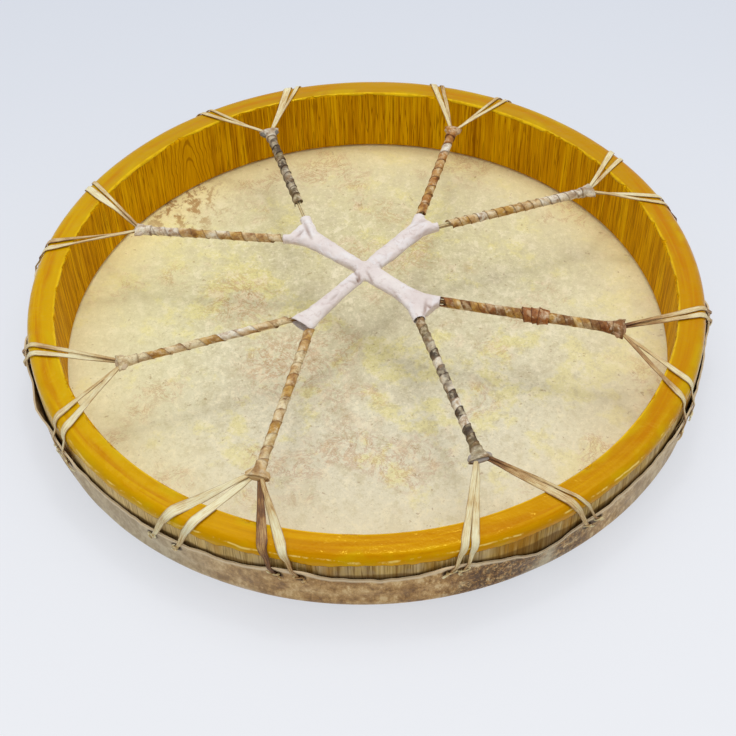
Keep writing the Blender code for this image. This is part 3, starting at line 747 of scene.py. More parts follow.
# The last wash lightens the membrane towards the hoop wall: painted light against the shade there.
WASHES = [
    (wide, 0.54, 0.40, 0.3, (212, 204, 178)), (fatty, 0.77, 0.86, 0.60, (230, 220, 140)),
    (middling, 0.485, 0.40, 0.42, (204, 193, 162)), (small, 0.53, 0.60, 0.55, (243, 234, 204)),
    (small, 0.47, 0.40, 0.42, (192, 180, 138)), (grainy, 0.54, 0.62, 0.52, (248, 240, 214)),
    (grainy, 0.46, 0.38, 0.54, (188, 177, 138)), (from_axis, 0.10, 0.225, 0.50, (240, 232, 190)),
]
cream = rawhide.washed(cream, WASHES)
print("membrane washes:", len(WASHES))

# %% Rusty veins and the skirt
# Where the veins gather most: a plan point and how far they reach from it.
VEINED = (((-0.100, 0.041, 0.0), 0.042), ((-0.062, -0.030, 0.0), 0.050))
RUST_AT = (-0.157, 0.158, 0.0)
veins_where = rawhide.cloud(12, 3, 0.6, rawhide.stretched((1, 1, 1), 77))
veins_where = rawhide.between(veins_where, 0.50, 0.62)
for middle, reach in VEINED:
    away = rawhide.between(rawhide.distance(ground, middle), reach, reach * 0.3, 0.0, 1.25)
    veins_where = rawhide.sum("MAXIMUM", veins_where, away)
veins = rawhide.off(rawhide.cloud(52, 9, 0.8, None, 0.8), 0.5)
veins = rawhide.between(veins, 0.034, 0.004)
rusty = rawhide.times(rawhide.times(veins_where, veins), 0.50)
membrane = rawhide.mixed(rusty, cream, (178, 120, 70))
blush = rawhide.times(veins_where, rawhide.between(small, 0.48, 0.58, 0.0, 0.20))
membrane = rawhide.mixed(blush, membrane, (210, 178, 132))
flecks = rawhide.between(rawhide.cloud(210, 3, 0.6), 0.665, 0.71, 0.0, 0.45)
membrane = rawhide.mixed(flecks, membrane, (150, 112, 66))
# Painted light: the membrane is lifted yellower towards the hoop wall, most at the back, as bounce
# light from the wall.
corner = rawhide.between(from_axis, 0.190, 0.229)
corner = rawhide.times(corner, rawhide.between(spot["Y"], -0.02, 0.10, 0.12, 1.0))
membrane = rawhide.mixed(corner, membrane, (0.17, 0.15, 0.04, 1.0), "ADD")
# Painted light: the left of the membrane is lifted a little lighter.
left_painted_light = rawhide.between(spot["X"], -0.06, -0.19)
membrane = rawhide.mixed(left_painted_light, membrane, (0.035, 0.05, 0.0, 1.0), "ADD")
rust_patch = rawhide.between(rawhide.distance(ground, RUST_AT), 0.060, 0.010)
rust_patch = rawhide.times(rust_patch, rawhide.between(small, 0.51, 0.43, 0.0, 0.75))
membrane = rawhide.mixed(rust_patch, membrane, (170, 118, 52))
speckled = rawhide.stored("speckle")
paler = rawhide.stored("paleness")
hairy = rawhide.cloud(260, 5, 0.75, rawhide.stretched((1, 1, 0.6)))
smudges = rawhide.cloud(64, 5, 0.7)
coat = rawhide.plus(rawhide.times(hairy, 0.55), rawhide.times(smudges, 0.45))
skirt = rawhide.shades(coat, [
    (0.40, (100, 66, 36)), (0.47, (164, 122, 70)), (0.53, (200, 158, 100)),
    (0.58, (232, 204, 152)),
])
dark_hair = rawhide.between(grainy, 0.58, 0.44, 0.0, 0.85)
dark_hair = rawhide.times(rawhide.between(speckled, 0.80, 0.95), dark_hair)
skirt = rawhide.mixed(dark_hair, skirt, (66, 48, 38))
tan = rawhide.mixed(rawhide.between(smudges, 0.35, 0.65), (170, 130, 76), (210, 176, 120))
skirt = rawhide.mixed(speckled, tan, skirt)
pale_hide = rawhide.mixed(rawhide.between(coat, 0.42, 0.58), (178, 162, 132), (206, 194, 164))
skirt = rawhide.mixed(paler, skirt, pale_hide)
cut_edge = rawhide.between(rawhide.stored("edge_level"), 0.84, 0.93)
skirt = rawhide.mixed(rawhide.times(cut_edge, 0.80), skirt, (228, 208, 172))
# Painted shade: the skirt darkens round each lace hole.
skirt = rawhide.washed(skirt, [(rawhide.stored("hole_shade"), 0.10, 0.45, 0.9, (66, 46, 28))])
is_skirt = rawhide.between(from_axis, 0.236, 0.246)
hide_colour = rawhide.mixed(is_skirt, membrane, skirt)
print("the skirt's colours are mixed by", is_skirt.node.name)

# %% Relief of the hide
cockles = rawhide.raised(middling, 0.0010)
nap = rawhide.plus(rawhide.times(small, 0.7), rawhide.times(grainy, 0.5))
nap = rawhide.plus(nap, rawhide.times(hairy, is_skirt))
nap = rawhide.raised(nap, 0.0005, cockles)
sheen = rawhide.between(middling, 0.4, 0.6, 0.56, 0.40)
head_piece = put(
    "drum_head_hide", head, rawhide.wear(Base_Color=hide_colour, Normal=nap, Roughness=sheen),
    ["drum_head"],
)
print("hide with thickness:", thicken(head_piece, HIDE, even=True), "faces")

# %% [markdown]
# ## The lace holes
# The holes were punched with an awl before the hide dried, so they are round and a little
# stretched. A tapered bar through the skirt at each place is cut away with a Boolean. Afterwards
# each point of the skirt is marked with how hairy and pale it is and how much painted shade it
# takes near a hole, for the finish to read.

# %% Punch the holes
AWL_TIP, AWL_BACK, AWL_LENGTH, AWL_OUT = 0.0025, 0.0031, 0.0076, 0.0040
awl = bmesh.new()
holes = []
for _, _, leg, outward in all_legs():
    for degrees in hole_angles(leg, outward):
        out = Vector((*direction(degrees), 0))
        turned = out.to_track_quat("Z", "Y").to_matrix().to_4x4()
        centre = cylindrical(HOOP_RADIUS + AWL_OUT, degrees, leg[2] - HOLE_BELOW_EDGE)
        holes.append((degrees, centre.z))
        bmesh.ops.create_cone(
            awl, cap_ends=True, segments=14, radius1=AWL_TIP, radius2=AWL_BACK, depth=AWL_LENGTH,
            matrix=Matrix.Translation(centre) @ turned,
        )
print("hide with holes:", cut(head_piece, awl), "faces")

# %% Mark the skirt's zones and the painted shade round the holes
# Stops go round the drum: direction, speckle, paleness.
ZONES = [
    (0, 0.5, 0.35), (60, 0.4, 0.4), (120, 0.6, 0.5), (180, 0.5, 0.5), (205, 0.7, 0.2),
    (218, 0.2, 0.8), (236, 0.2, 0.85), (246, 0.45, 0.3), (256, 0.55, 0.05), (274, 0.65, 0.0),
    (288, 1.0, 0.0), (294, 1.0, 0.1), (296.5, 0.9, 0.9), (299, 1.0, 0.1), (308, 0.8, 0.2),
    (318, 0.4, 0.55), (335, 0.4, 0.5), (360, 0.5, 0.35),
]
SKIRT_FROM, HOLE_SHADE_REACH = 0.246, 0.0058
marks = {name: [] for name in ("speckle", "paleness", "hole_shade")}
for vert in head_piece.data.vertices:
    place = vert.co
    far_out = place.xy.length > SKIRT_FROM
    degrees = math.degrees(math.atan2(place.y, place.x)) % 360
    sway = degrees + 3.0 * noise.noise(place * 40) if far_out else degrees
    speckle, paleness, hole_shade = 0.5, 0.3, 0.0
    for (start, a, b), (end, c, d) in zip(ZONES, ZONES[1:]):
        if start <= sway <= end:
            share = (sway - start) / (end - start)
            speckle, paleness = a + (c - a) * share, b + (d - b) * share
    if far_out:
        for hole, level in holes:
            along = math.radians((degrees - hole + 180) % 360 - 180) * HOOP_RADIUS
            hole_shade = max(hole_shade, 1 - math.hypot(along, place.z - level) / HOLE_SHADE_REACH)
    marks["speckle"].append(speckle)
    marks["paleness"].append(paleness)
    marks["hole_shade"].append(max(0.0, hole_shade))
for name, values in marks.items():
    head_piece.data.attributes.new(name, "FLOAT", "POINT").data.foreach_set("value", values)
soften(head_piece.data, 50)
print("marked", len(marks["speckle"]), "points near", len(holes), "holes")

# %% [markdown]
# ## Drawing a strip
# Laces and wound strips are both narrow bands that follow a path. We start with one row of
# vertices, extrude that row again and again, and set every new row down where it belongs. Each
# vertex remembers its place in the row, so it finds its point after the extrusion. Numbers such as
# the length along the strip are stored on the vertices for the finish to use.

# %% Extrude a row along a path
def squared(value, power):
    """A cosine or sine drawn nearer to 1 or -1, so that a circle becomes squarer."""
    return math.copysign(abs(value) ** power, value)


def oval(middle, aside, upward, sides):
    """A ring of points round a middle: aside and upward are its half axes."""
    turns = [math.tau * k / sides for k in range(sides)]
    return [middle + aside * math.cos(turn) + upward * math.sin(turn) for turn in turns]


def draw_rows(shape, rows, marks, ring):
    """Extrude a row of points from row to row, and close its ends if it is a ring.

    Marks holds named numbers for every row, or for every point of a row.
    """
    order = shape.verts.layers.int.get("order") or shape.verts.layers.int.new("order")
    layers = {}
    for name in marks[0]:
        layers[name] = shape.verts.layers.float.get(name) or shape.verts.layers.float.new(name)
    row = []
    for index, point in enumerate(rows[0]):
        vert = shape.verts.new(point)
        vert[order] = index
        row.append(vert)
    pairs = list(zip(row, row[1:])) + ([(row[-1], row[0])] if ring else [])
    edges = [shape.edges.new(pair) for pair in pairs]
    ends = [edges]
    for number, points in enumerate(rows):
        if number:
            grown = bmesh.ops.extrude_edge_only(shape, edges=edges)["geom"]
            row = [part for part in grown if isinstance(part, bmesh.types.BMVert)]
            fresh = set(row)
            edges = [
                part for part in grown
                if isinstance(part, bmesh.types.BMEdge) and fresh.issuperset(part.verts)
            ]
        for vert in row:
            vert.co = points[vert[order]]
            for name, layer in layers.items():
                value = marks[number][name]
                vert[layer] = value[vert[order]] if isinstance(value, (list, tuple)) else value
    ends.append(edges)
    if ring:
        for loop in ends:
            bmesh.ops.edgeloop_fill(shape, edges=loop)


print("strips are drawn by", draw_rows.__name__)

# %% [markdown]
# ## The laces' paths
# In plan, a spoke starts beside the grip's middle, runs along its arm, bends where the two fingers
# part and goes straight to its fork. Four strands share it, side by side in two layers. From the
# fork each strand flattens into a ribbon, crosses the rim, turns down its outer side and dives
# through its hole. Corners are few and sharp in these lists, and a curve is fitted through later.

# %% Spokes in plan
def spoke_line(number):
    """Plan points of a spoke: by the knot, before and after the bend, and at the fork."""
    arm = (number - 1) // 2
    hand = 1 if number % 2 == 0 else -1
    along = direction(ARM_DIRECTIONS[arm])
    side = Vector((-along.y, along.x)) * hand
    lane = GRIP_CENTRE + side * (BUNDLE_HALF + GAP / 2)
    bend = lane + along * ARM_LENGTHS[arm]
    fork = FORK_RADII[number - 1] * direction(FORK_DIRECTIONS[number - 1])
    onward = (fork - bend).normalized()
    lane_start = lane + along * LACES_START
    return [lane_start, bend - along * BUNDLE_HALF, bend + onward * BUNDLE_HALF, fork]


def offset_line(line, distance):
    """Plan points moved sideways to the left by a distance, mitred at the corners."""
    moved = []
    for i, point in enumerate(line):
        before = (point - line[i - 1]).normalized() if i else (line[1] - point).normalized()
        after = (line[i + 1] - point).normalized() if i < len(line) - 1 else before
        tangent = (before + after).normalized()
        moved.append(point + Vector((-tangent.y, tangent.x)) * distance / tangent.dot(before))
    return moved


def reach_share(start, end, radius):
    """Share of the way from start to end at which a line in plan is a radius from the axis."""
    way = end - start
    half = start.dot(way)
    rest = way.dot(way) * (start.dot(start) - radius ** 2)
    return (math.sqrt(half ** 2 - rest) - half) / way.dot(way)


print("spoke 1:", [[round(v, 3) for v in point] for point in spoke_line(1)])

# %% One strand from the knot to its hole
def strand_stations(number, outward, row, degrees, hole, tip, rim_width):
    """Places of a strand: point, direction of its face, then width, thickness and share of it."""
    column = outward * (STRAND_SIDE + STRAND_GAP) / 2
    height = LACE_HEIGHT + row * (STRAND_SIDE + STRAND_GAP) / 2
    line = offset_line(spoke_line(number), column)
    stations = [(Vector((*point, height)), Z, (STRAND_SIDE, STRAND_SIDE, 0.0)) for point in line]
    fork = line[-1]
    start = HOOP_RADIUS - RIM_ROUND
    edge = direction(degrees) * (HOOP_RADIUS - RIM_ROUND / 2)
    gate = reach_share(fork, edge, HOOP_INSIDE - LACE_THICKNESS)
    fork_width = STRAND_SIDE + 0.25 * rim_width
    for share in (gate * 0.15, gate * 0.4, gate * 0.8, gate, reach_share(fork, edge, start)):
        level = clamp((share / gate - 0.55) / 0.4)
        point = Vector((*fork.lerp(edge, share), height + (LACE_HEIGHT - height) * level))
        width = fork_width + (rim_width - fork_width) * share
        thickness = STRAND_SIDE + (LACE_THICKNESS - STRAND_SIDE) * level
        stations.append((point, Z, (width, thickness, share)))
    shift = hole - degrees
    turn_radius = RIM_ROUND + GAP + LACE_THICKNESS / 2
    wall_width = 0.0011 + 0.48 * rim_width
    for tilt, share in ((60, 0.0), (30, 0.15), (0, 0.33)):
        out = Vector((*direction(degrees + shift * share), 0))
        face = out * math.cos(math.radians(tilt)) + Z * math.sin(math.radians(tilt))
        level = RIM_HEIGHT - RIM_ROUND + turn_radius * math.sin(math.radians(tilt))
        point = out * (start + turn_radius * math.cos(math.radians(tilt))) + Z * level
        width = rim_width + (wall_width - rim_width) * (1 - tilt / 90)
        stations.append((point, face, (width, LACE_THICKNESS, 1.0 + share)))
    out = Vector((*direction(hole), 0))
    edge_top = tip + LACE_THICKNESS
    outside = HIDE + GAP + LACE_THICKNESS / 2
    over = cylindrical(skirt_radius(edge_top, 1) + outside, degrees + shift * 0.62, edge_top)
    stations.append((over, out, (wall_width * 0.66, LACE_THICKNESS, 1.6)))
    drop = tip - HOLE_BELOW_EDGE
    corner = cylindrical(skirt_radius(drop, 1) + outside, hole, drop)
    stations.append((corner, (out - Z).normalized(), (0.0019, LACE_THICKNESS, 2.0)))
    return stations


sample = strand_stations(1, 1, 1, 34.6, 37.4, 0.046, 0.005)
print("a strand has", len(sample), "stations")

# %% A whole lace, there and back
def lace_stations(number, leg, outward, widths):
    """Stations of a doubled lace: out to its far hole, along behind the hide, and back."""
    far, near = strand_angles(leg, outward)
    far_hole, near_hole = hole_angles(leg, outward)
    tip = leg[2]
    out_run = strand_stations(number, outward, 1, far, far_hole, tip, widths[0])
    back_run = strand_stations(number, outward, -1, near, near_hole, tip, widths[1])
    behind = []
    for share in (0, 1 / 3, 2 / 3, 1):
        place = far_hole + (near_hole - far_hole) * share
        point = cylindrical(HOOP_RADIUS + GAP + LACE_THICKNESS / 2, place, tip - HOLE_BELOW_EDGE)
        behind.append((point, -Z, (LACE_THICKNESS, 0.0016, 2.0)))
    return out_run + behind + back_run[::-1]


def between_stations(first, second, share):
    """A station part of the way between two others, on the straight line."""
    sizes = tuple(a + (b - a) * share for a, b in zip(first[2], second[2]))
    return first[0].lerp(second[0], share), first[1].lerp(second[1], share), sizes


def anchored(stations, reach):
    """Add stations a little way from every corner, so that only the corners are rounded."""
    result = [stations[0]]
    for first, second in zip(stations, stations[1:]):
        length = (second[0] - first[0]).length
        if length > 2.6 * reach:
            result.append(between_stations(first, second, reach / length))
            result.append(between_stations(first, second, 1 - reach / length))
        result.append(second)
    return result


def finer(stations, spacing):
    """Fit a smooth curve through stations, with new ones about a spacing apart."""
    points = [station[0] for station in stations]
    heading = []
    for i in range(len(points)):
        before = (points[i] - points[i - 1]).normalized() if i else Vector()
        after = (points[i + 1] - points[i]).normalized() if i < len(points) - 1 else Vector()
        heading.append((before + after).normalized())
    result = []
    for i in range(len(stations) - 1):
        length = (points[i + 1] - points[i]).length
        count = max(1, round(length / spacing))
        for k in range(count):
            t = k / count
            point = points[i] * (2 * t ** 3 - 3 * t ** 2 + 1)
            point += points[i + 1] * (3 * t ** 2 - 2 * t ** 3)
            point += heading[i] * length * (t ** 3 - 2 * t ** 2 + t)
            point += heading[i + 1] * length * (t ** 3 - t ** 2)
            result.append((point, *between_stations(stations[i], stations[i + 1], t)[1:]))
    result.append(stations[-1])
    return result


print("curves are fitted by", finer.__name__)

# %% [markdown]
# ## The laces themselves
# A rawhide lace dries hard and a little curled. It is a twisted cord at the fork, spreads to a
# ribbon over the rim and narrows again to its hole. Its section is a flat loop of fourteen points,
# bent into a slight trough and turned a little more or less at every station.

# %% The finish of the laces
lace = Finish("lace_rawhide", 0.40, 0.45)
run = lace.stored("along")
over = lace.stored("across")
tone = lace.stored("tone")
strip_place = lace.joined(lace.times(run, 50.0), lace.times(over, 3.4), lace.times(tone, 3.0))
streaks = lace.cloud(2.2, 6, 0.68, strip_place)
drift = lace.cloud(34, 3)
depth = lace.plus(tone, lace.between(drift, 0.3, 0.7, -0.18, 0.26))
depth = lace.plus(depth, lace.between(streaks, 0.38, 0.62, -0.20, 0.24), True)
lace_colour = lace.shades(depth, [
    (0.0, (240, 233, 194)), (0.25, (229, 212, 160)), (0.5, (208, 174, 114)),
    (0.75, (160, 112, 56)), (1.0, (104, 64, 26)),
])
# Painted shade: the lace darkens towards its edges.
lace_edge_shade = lace.between(lace.sum("ABSOLUTE", over), 0.72, 1.0, 0.0, 0.70)
lace_colour = lace.mixed(lace_edge_shade, lace_colour, (160, 118, 62), "MULTIPLY")
lace_relief = lace.raised(streaks, 0.0005)
lace_finish = lace.wear(Base_Color=lace_colour, Normal=lace_relief)
print("laces run from cream to brown")

# %% Width and colour of each leg
# Far strand, then near strand: width on the rim in millimetres, and tones at the fork and at the
# rim, from 0 for cream to 1 for brown.
LEGS = {
    "1a": ((4.8, 0.20, 0.10), (4.0, 0.30, 0.20)), "1b": ((3.6, 0.30, 0.35), (4.6, 0.15, 0.15)),
    "2a": ((5.0, 0.20, 0.12), (3.4, 0.40, 0.35)), "2b": ((3.2, 0.15, 0.15), (3.4, 0.20, 0.25)),
    "3a": ((4.0, 0.16, 0.20), (2.6, 0.18, 0.30)), "3b": ((3.2, 0.12, 0.20), (6.2, 0.10, 0.08)),
    "4a": ((5.2, 0.20, 0.20), (4.2, 0.30, 0.45)), "4b": ((3.4, 0.40, 0.30), (6.0, 0.35, 0.05)),
    "5a": ((7.0, 0.30, 0.12), (5.6, 0.45, 0.25)), "5b": ((4.4, 0.45, 0.35), (5.6, 0.35, 0.05)),
    "6a": ((7.2, 0.45, 0.10), (7.8, 0.85, 0.72)), "6b": ((8.4, 0.40, 0.03), (8.0, 0.25, 0.05)),
    "7a": ((2.8, 0.85, 0.35), (6.8, 0.85, 0.35)), "7b": ((6.2, 0.35, 0.08), (5.8, 0.30, 0.12)),
    "8a": ((4.6, 0.75, 0.40), (4.8, 0.80, 0.30)), "8b": ((4.6, 0.60, 0.35), (5.6, 0.35, 0.18)),
}
print("legs described:", len(LEGS))

# %% Draw the laces
SECTION_SIDES, SQUARENESS = 14, 0.7
CORNER_REACH, STATION_SPACING = 0.0026, 0.0020
SECTION = []
for k in range(SECTION_SIDES):
    turn = math.tau * k / SECTION_SIDES
    x, y = math.cos(turn), math.sin(turn)
    SECTION.append((squared(x, SQUARENESS), squared(y, SQUARENESS)))
for number, letter, leg, outward in all_legs():
    name = f"{number}{letter}"
    far_look, near_look = LEGS[name]
    coarse = lace_stations(number, leg, outward, (far_look[0] / 1000, near_look[0] / 1000))
    stations = finer(anchored(coarse, CORNER_REACH), STATION_SPACING)
    rows, marks, length = [], [], 0.0
    turning = False
    for i, (point, face, (width, thickness, share)) in enumerate(stations):
        ahead = stations[min(i + 1, len(stations) - 1)][0] - stations[max(i - 1, 0)][0]
        tangent = ahead.normalized()
        face = (face - tangent * face.dot(tangent)).normalized()
        side = face.cross(tangent)
        turning = turning or share >= 2.0
        look = near_look if turning else far_look
        seed = number * 3.1 + outward + 9 * turning
        hanging = math.sin(math.pi * clamp(share)) if share < 1 else 0.0
        twist = 0.9 * hanging * wobble(length * 16, seed, 0)
        turned_side = side * math.cos(twist) + face * math.sin(twist)
        turned_face = face * math.cos(twist) - side * math.sin(twist)
        ribbon = clamp(share * 4)
        grown = width * (1 + ribbon * 0.20 * wobble(length * 60, seed, 3))
        curl = ribbon * (0.05 + 0.05 * wobble(length * 30, seed, 8)) * grown
        slack = 0.0009 * hanging * wobble(length * 22, seed, 5)
        rows.append([
            point + turned_side * (x * grown / 2 + slack)
            + turned_face * (y * thickness / 2 + curl * x * x) for x, y in SECTION
        ])
        # Past the rim, the tone darkens as the lace runs down the outer wall: painted shade.
        marks.append({
            "along": length + number, "across": [x for x, _ in SECTION],
            "tone": look[1] + (look[2] - look[1]) * min(1.0, share) + max(0.0, share - 1.05) * 0.42,
        })
        if i < len(stations) - 1:
            length += (stations[i + 1][0] - point).length
    shape = bmesh.new()
    draw_rows(shape, rows, marks, ring=True)
    bmesh.ops.recalc_face_normals(shape, faces=shape.faces)
    put(f"lace_{name}_strip", shape, lace_finish, [f"lace_{name}"], 60)
    print(f"lace {name}: {length * 1000:.0f} mm long")

# %% [markdown]
# ## Tails at the holes
# The ends and joins of the laces were left sticking out of their holes and dried into small curled
# tails. Each is a short tapering cord, drawn like a lace along a wavy line close to the skirt. No
# two should look alike, so a noise that depends on the hole sets their slant and length.

# %% Tails at the holes
TAIL_STEPS, TAIL_SIDES, TAIL_LENGTH, TAIL_HALF = 14, 8, 0.0075, 0.0011
tail_count = 0
for number, letter, leg, outward in all_legs():
    tails = bmesh.new()
    for hole in hole_angles(leg, outward):
        for twin in (0, 1):
            seed = hole * 0.37 + twin * 5.1
            slant = 0.9 * wobble(seed, 1, 0) + (0.5 if twin else -0.4) * outward
            reach = TAIL_LENGTH + 0.0030 * wobble(seed, 2, 0)
            rows, marks = [], []
            for i in range(TAIL_STEPS + 1):
                t = i / TAIL_STEPS
                along_skirt = reach * (math.sin(slant) * t + 0.25 * math.sin(5.0 * t + seed))
                drop = reach * math.cos(slant) * t * (0.8 if twin else -0.25)
                level = leg[2] - HOLE_BELOW_EDGE + 0.0012 - drop
                place = hole + math.degrees(along_skirt / HOOP_RADIUS)
                stand = HIDE + 0.0007 + 0.0014 * math.sin(math.pi * t)
                middle = cylindrical(skirt_radius(level, 0.8) + stand, place, level)
                thick = TAIL_HALF * (1 - 0.45 * t)
                out = Vector((*direction(place), 0))
                sideways = out.cross(Z) if not twin else (out.cross(Z) + Z).normalized()
                rows.append(oval(middle, sideways * thick, out * thick * 0.7, TAIL_SIDES))
                tone = 0.04 + 0.35 * (1 - t)
                marks.append({"along": seed + t * reach, "across": 0.4, "tone": tone})
            draw_rows(tails, rows, marks, ring=True)
            tail_count += 1
    bmesh.ops.recalc_face_normals(tails, faces=tails.faces)
    lace_node = f"lace_{number}{letter}"
    put(f"{lace_node}_tails", tails, lace_finish, [lace_node], 60)
print("tails at the holes:", tail_count)

# %% [markdown]
# ## The strips wound round the spokes
# Each spoke is bound with a long strip of hide, started at the grip and wound outwards, so every
# turn laps a little over the one before, and the last turns close round both legs of the fork. The
# strips came from different hides: some nearly white, some tan, some dark with the hair side out.
# A wound strip is a row of points carried round the spoke as a screw, with one side lifted. A
# last turn stays in place and closes the end, and a lump of hide plugs the fork's crotch.

# %% The finish of a wound strip
def strip_finish(name, roughness):
    """A finish that takes its base colour from the strip and adds fibres, dirt and painted shade at
    the laps.
    """
    hide = Finish(name, roughness, 0.35)
    dye = hide.stored("dye", "Color")
    run = hide.stored("along")
    over = hide.stored("across")
    lanes = hide.joined(hide.times(run, 170.0), hide.times(over, 4.0))
    fibre = hide.cloud(1.0, 5, 0.7, lanes, 0.4)
    blotches = hide.cloud(150, 5, 0.7)
    specks = hide.cloud(620, 4, 0.65)
    wear_and_lap_shade = hide.washed(dye, [
        (blotches, 0.50, 0.64, 0.55, (238, 226, 196)),
        (blotches, 0.48, 0.36, 0.62, (176, 128, 70), "MULTIPLY"),
        (fibre, 0.42, 0.62, 0.45, (206, 176, 128), "MULTIPLY"),
        (specks, 0.56, 0.66, 0.35, (96, 62, 34)),
        # Painted shade: a dark line along one edge of each turn, where it laps over the turn
        # before.
        (over, 0.12, 0.0, 0.55, (128, 90, 52), "MULTIPLY"),
    ])
    rough_hide = hide.raised(hide.plus(fibre, hide.plus(specks, blotches)), 0.0006)
    return hide.wear(Base_Color=wear_and_lap_shade, Normal=rough_hide)


print("one finish is made for each strip")

# %% Colours along the strips
# Colours from the chart, then each strip's: per cent of its length and the colour there.
TINTS = {
    "white": (236, 230, 214), "cream": (232, 218, 176), "beige": (226, 200, 150),
    "tan": (208, 170, 110), "ochre": (200, 156, 74), "brown": (140, 98, 50), "rust": (150, 92, 38),
    "grey": (178, 168, 148), "dark": (78, 66, 50), "olive": (128, 112, 76),
    "copper": (184, 128, 60),
}
DYES = {
    1: "0 white 4 tan 10 ochre 20 tan 25 white 30 beige 40 ochre 55 tan 62 beige 70 white "
       "93 white 100 grey",
    2: "0 ochre 15 copper 28 ochre 40 copper 52 tan 64 copper 72 ochre 76 white 81 white "
       "85 copper 100 copper",
    3: "0 grey 10 olive 25 dark 40 grey 50 dark 62 olive 75 dark 88 grey 100 white",
    4: "0 cream 12 tan 26 beige 36 ochre 46 white 55 ochre 66 tan 76 white 100 white",
    5: "0 cream 14 beige 24 tan 30 white 38 white 46 ochre 56 cream 68 beige 78 ochre "
       "88 cream 100 cream",
    6: "0 ochre 12 tan 24 cream 36 tan 44 ochre 52 cream 60 beige 72 ochre 82 cream 90 tan "
       "100 beige",
    7: "0 brown 12 olive 22 grey 30 dark 36 white 44 dark 50 white 57 dark 63 white 70 dark "
       "76 white 83 dark 92 olive 100 grey",
    8: "0 white 4 rust 10 ochre 16 brown 22 ochre 28 rust 35 brown 42 ochre 52 rust 58 brown "
       "63 ochre 70 brown 77 ochre 85 brown 93 rust 98 brown 100 white",
}


def dyed(number, share, turn, across=0.5):
    """Colour of a strip at a share of its length, with patches that follow the turns."""
    words = DYES[number].split()
    stops = [(int(at) / 100, TINTS[name]) for at, name in zip(words[::2], words[1::2])]
    share = share + 0.025 * wobble(turn * 0.7, number, across * 2)
    share = clamp(share)
    for (start, first), (end, second) in zip(stops, stops[1:]):
        if share <= end:
            blend = (share - start) / (end - start)
            blend = clamp((blend - 0.5) * 2.2 + 0.5)
            base = [a + (b - a) * blend for a, b in zip(first, second)]
            break
    patch = wobble(turn * 0.9, number * 5.3, share * 9 + across * 1.5)
    other = (240, 228, 196) if patch > 0 else (138, 98, 56)
    amount = min(0.5, max(0.0, abs(patch) - 0.14) * 1.8)
    return chart(*[a + (b - a) * amount for a, b in zip(base, other)])


print("strip 8 starts", [round(v, 2) for v in dyed(8, 0.1, 0)])

# %% Wind a strip round a line
TURN_STEPS = 30
STRIP_COLUMNS = 8


def wind(start, along, length, radii, pitch, overlap, thickness, colour, seed, starts=1):
    """Carry a row of points round a line as a screw; radii gives half width and half height."""
    shape = bmesh.new()
    side = Vector((-along.y, along.x, 0))
    width = pitch / starts + overlap
    spiral = (length - width) / pitch
    turns = spiral + 1
    steps = round(turns * TURN_STEPS)
    colours = []
    for strand in range(starts):
        rows, marks = [], []
        for i in range(steps + 1):
            done = turns * i / steps
            turn = math.tau * (done + strand / starts)
            middle = width / 2 + pitch * min(done, spiral)
            closing = max(0.0, done - spiral)
            row = []
            for k in range(STRIP_COLUMNS + 1):
                across = k / STRIP_COLUMNS
                sway = 0.0007 * wobble(turn * 0.8, seed, across * 2)
                place = min(length, max(0.0, middle + (across - 0.5) * width + sway))
                half_width, half_height = radii(place)
                lift = thickness * 0.9 * (1 - min(1.0, across * width / overlap / 1.4))
                lump = 0.0003 * wobble(place * 190, turn * 0.55, seed)
                bulge = 0.00050 * math.sin(math.pi * across) if starts > 1 else 0.0
                grown = thickness * (1 + 0.9 * closing) + lift + lump + bulge
                point = start + along * place
                point = point + side * (half_width + grown) * math.cos(turn)
                point = point + Z * (half_height + grown) * math.sin(turn)
                row.append(point)
                colours.append(colour(middle / length, turn, across))
            rows.append(row)
            marks.append({
                "along": turn * 0.004 + strand,
                "across": [k / STRIP_COLUMNS for k in range(STRIP_COLUMNS + 1)],
            })
        draw_rows(shape, rows, marks, ring=False)
    dye = shape.verts.layers.float_color.new("dye")
    for vert, shade in zip(shape.verts, colours):
        vert[dye] = shade
    bmesh.ops.recalc_face_normals(shape, faces=shape.faces)
    return shape


def wound(name, shape, finish, stands_for, thickness):
    """Put a wound strip in place and give it a thickness."""
    piece = put(name, shape, finish, [stands_for], 60)
    thicken(piece, thickness)
    return piece


print("a turn has", TURN_STEPS, "steps")

# %% Where each strip runs
def wrap_span(number):
    """Start, direction and length of a spoke's strip, up to its fork."""
    bend, fork = spoke_line(number)[2:]
    along = (fork - bend).normalized()
    start = bend + along * (FINGER_LENGTHS[number - 1] + BARE_LENGTHS[number - 1] + GAP)
    return start, along, (fork - start).length


def leg_slopes(number):
    """How far each leg of a fork moves aside for each unit along its spoke."""
    along = wrap_span(number)[1]
    fork = spoke_line(number)[-1]
    slopes = []
    for other, _, leg, outward in all_legs():
        if other == number:
            way = direction(strand_angles(leg, outward)[0]) * (HOOP_RADIUS - RIM_ROUND / 2) - fork
            slopes.append(abs(way.cross(along)) / way.dot(along))
    return slopes


print("strip 6 is", round(wrap_span(6)[2] * 1000), "mm long")

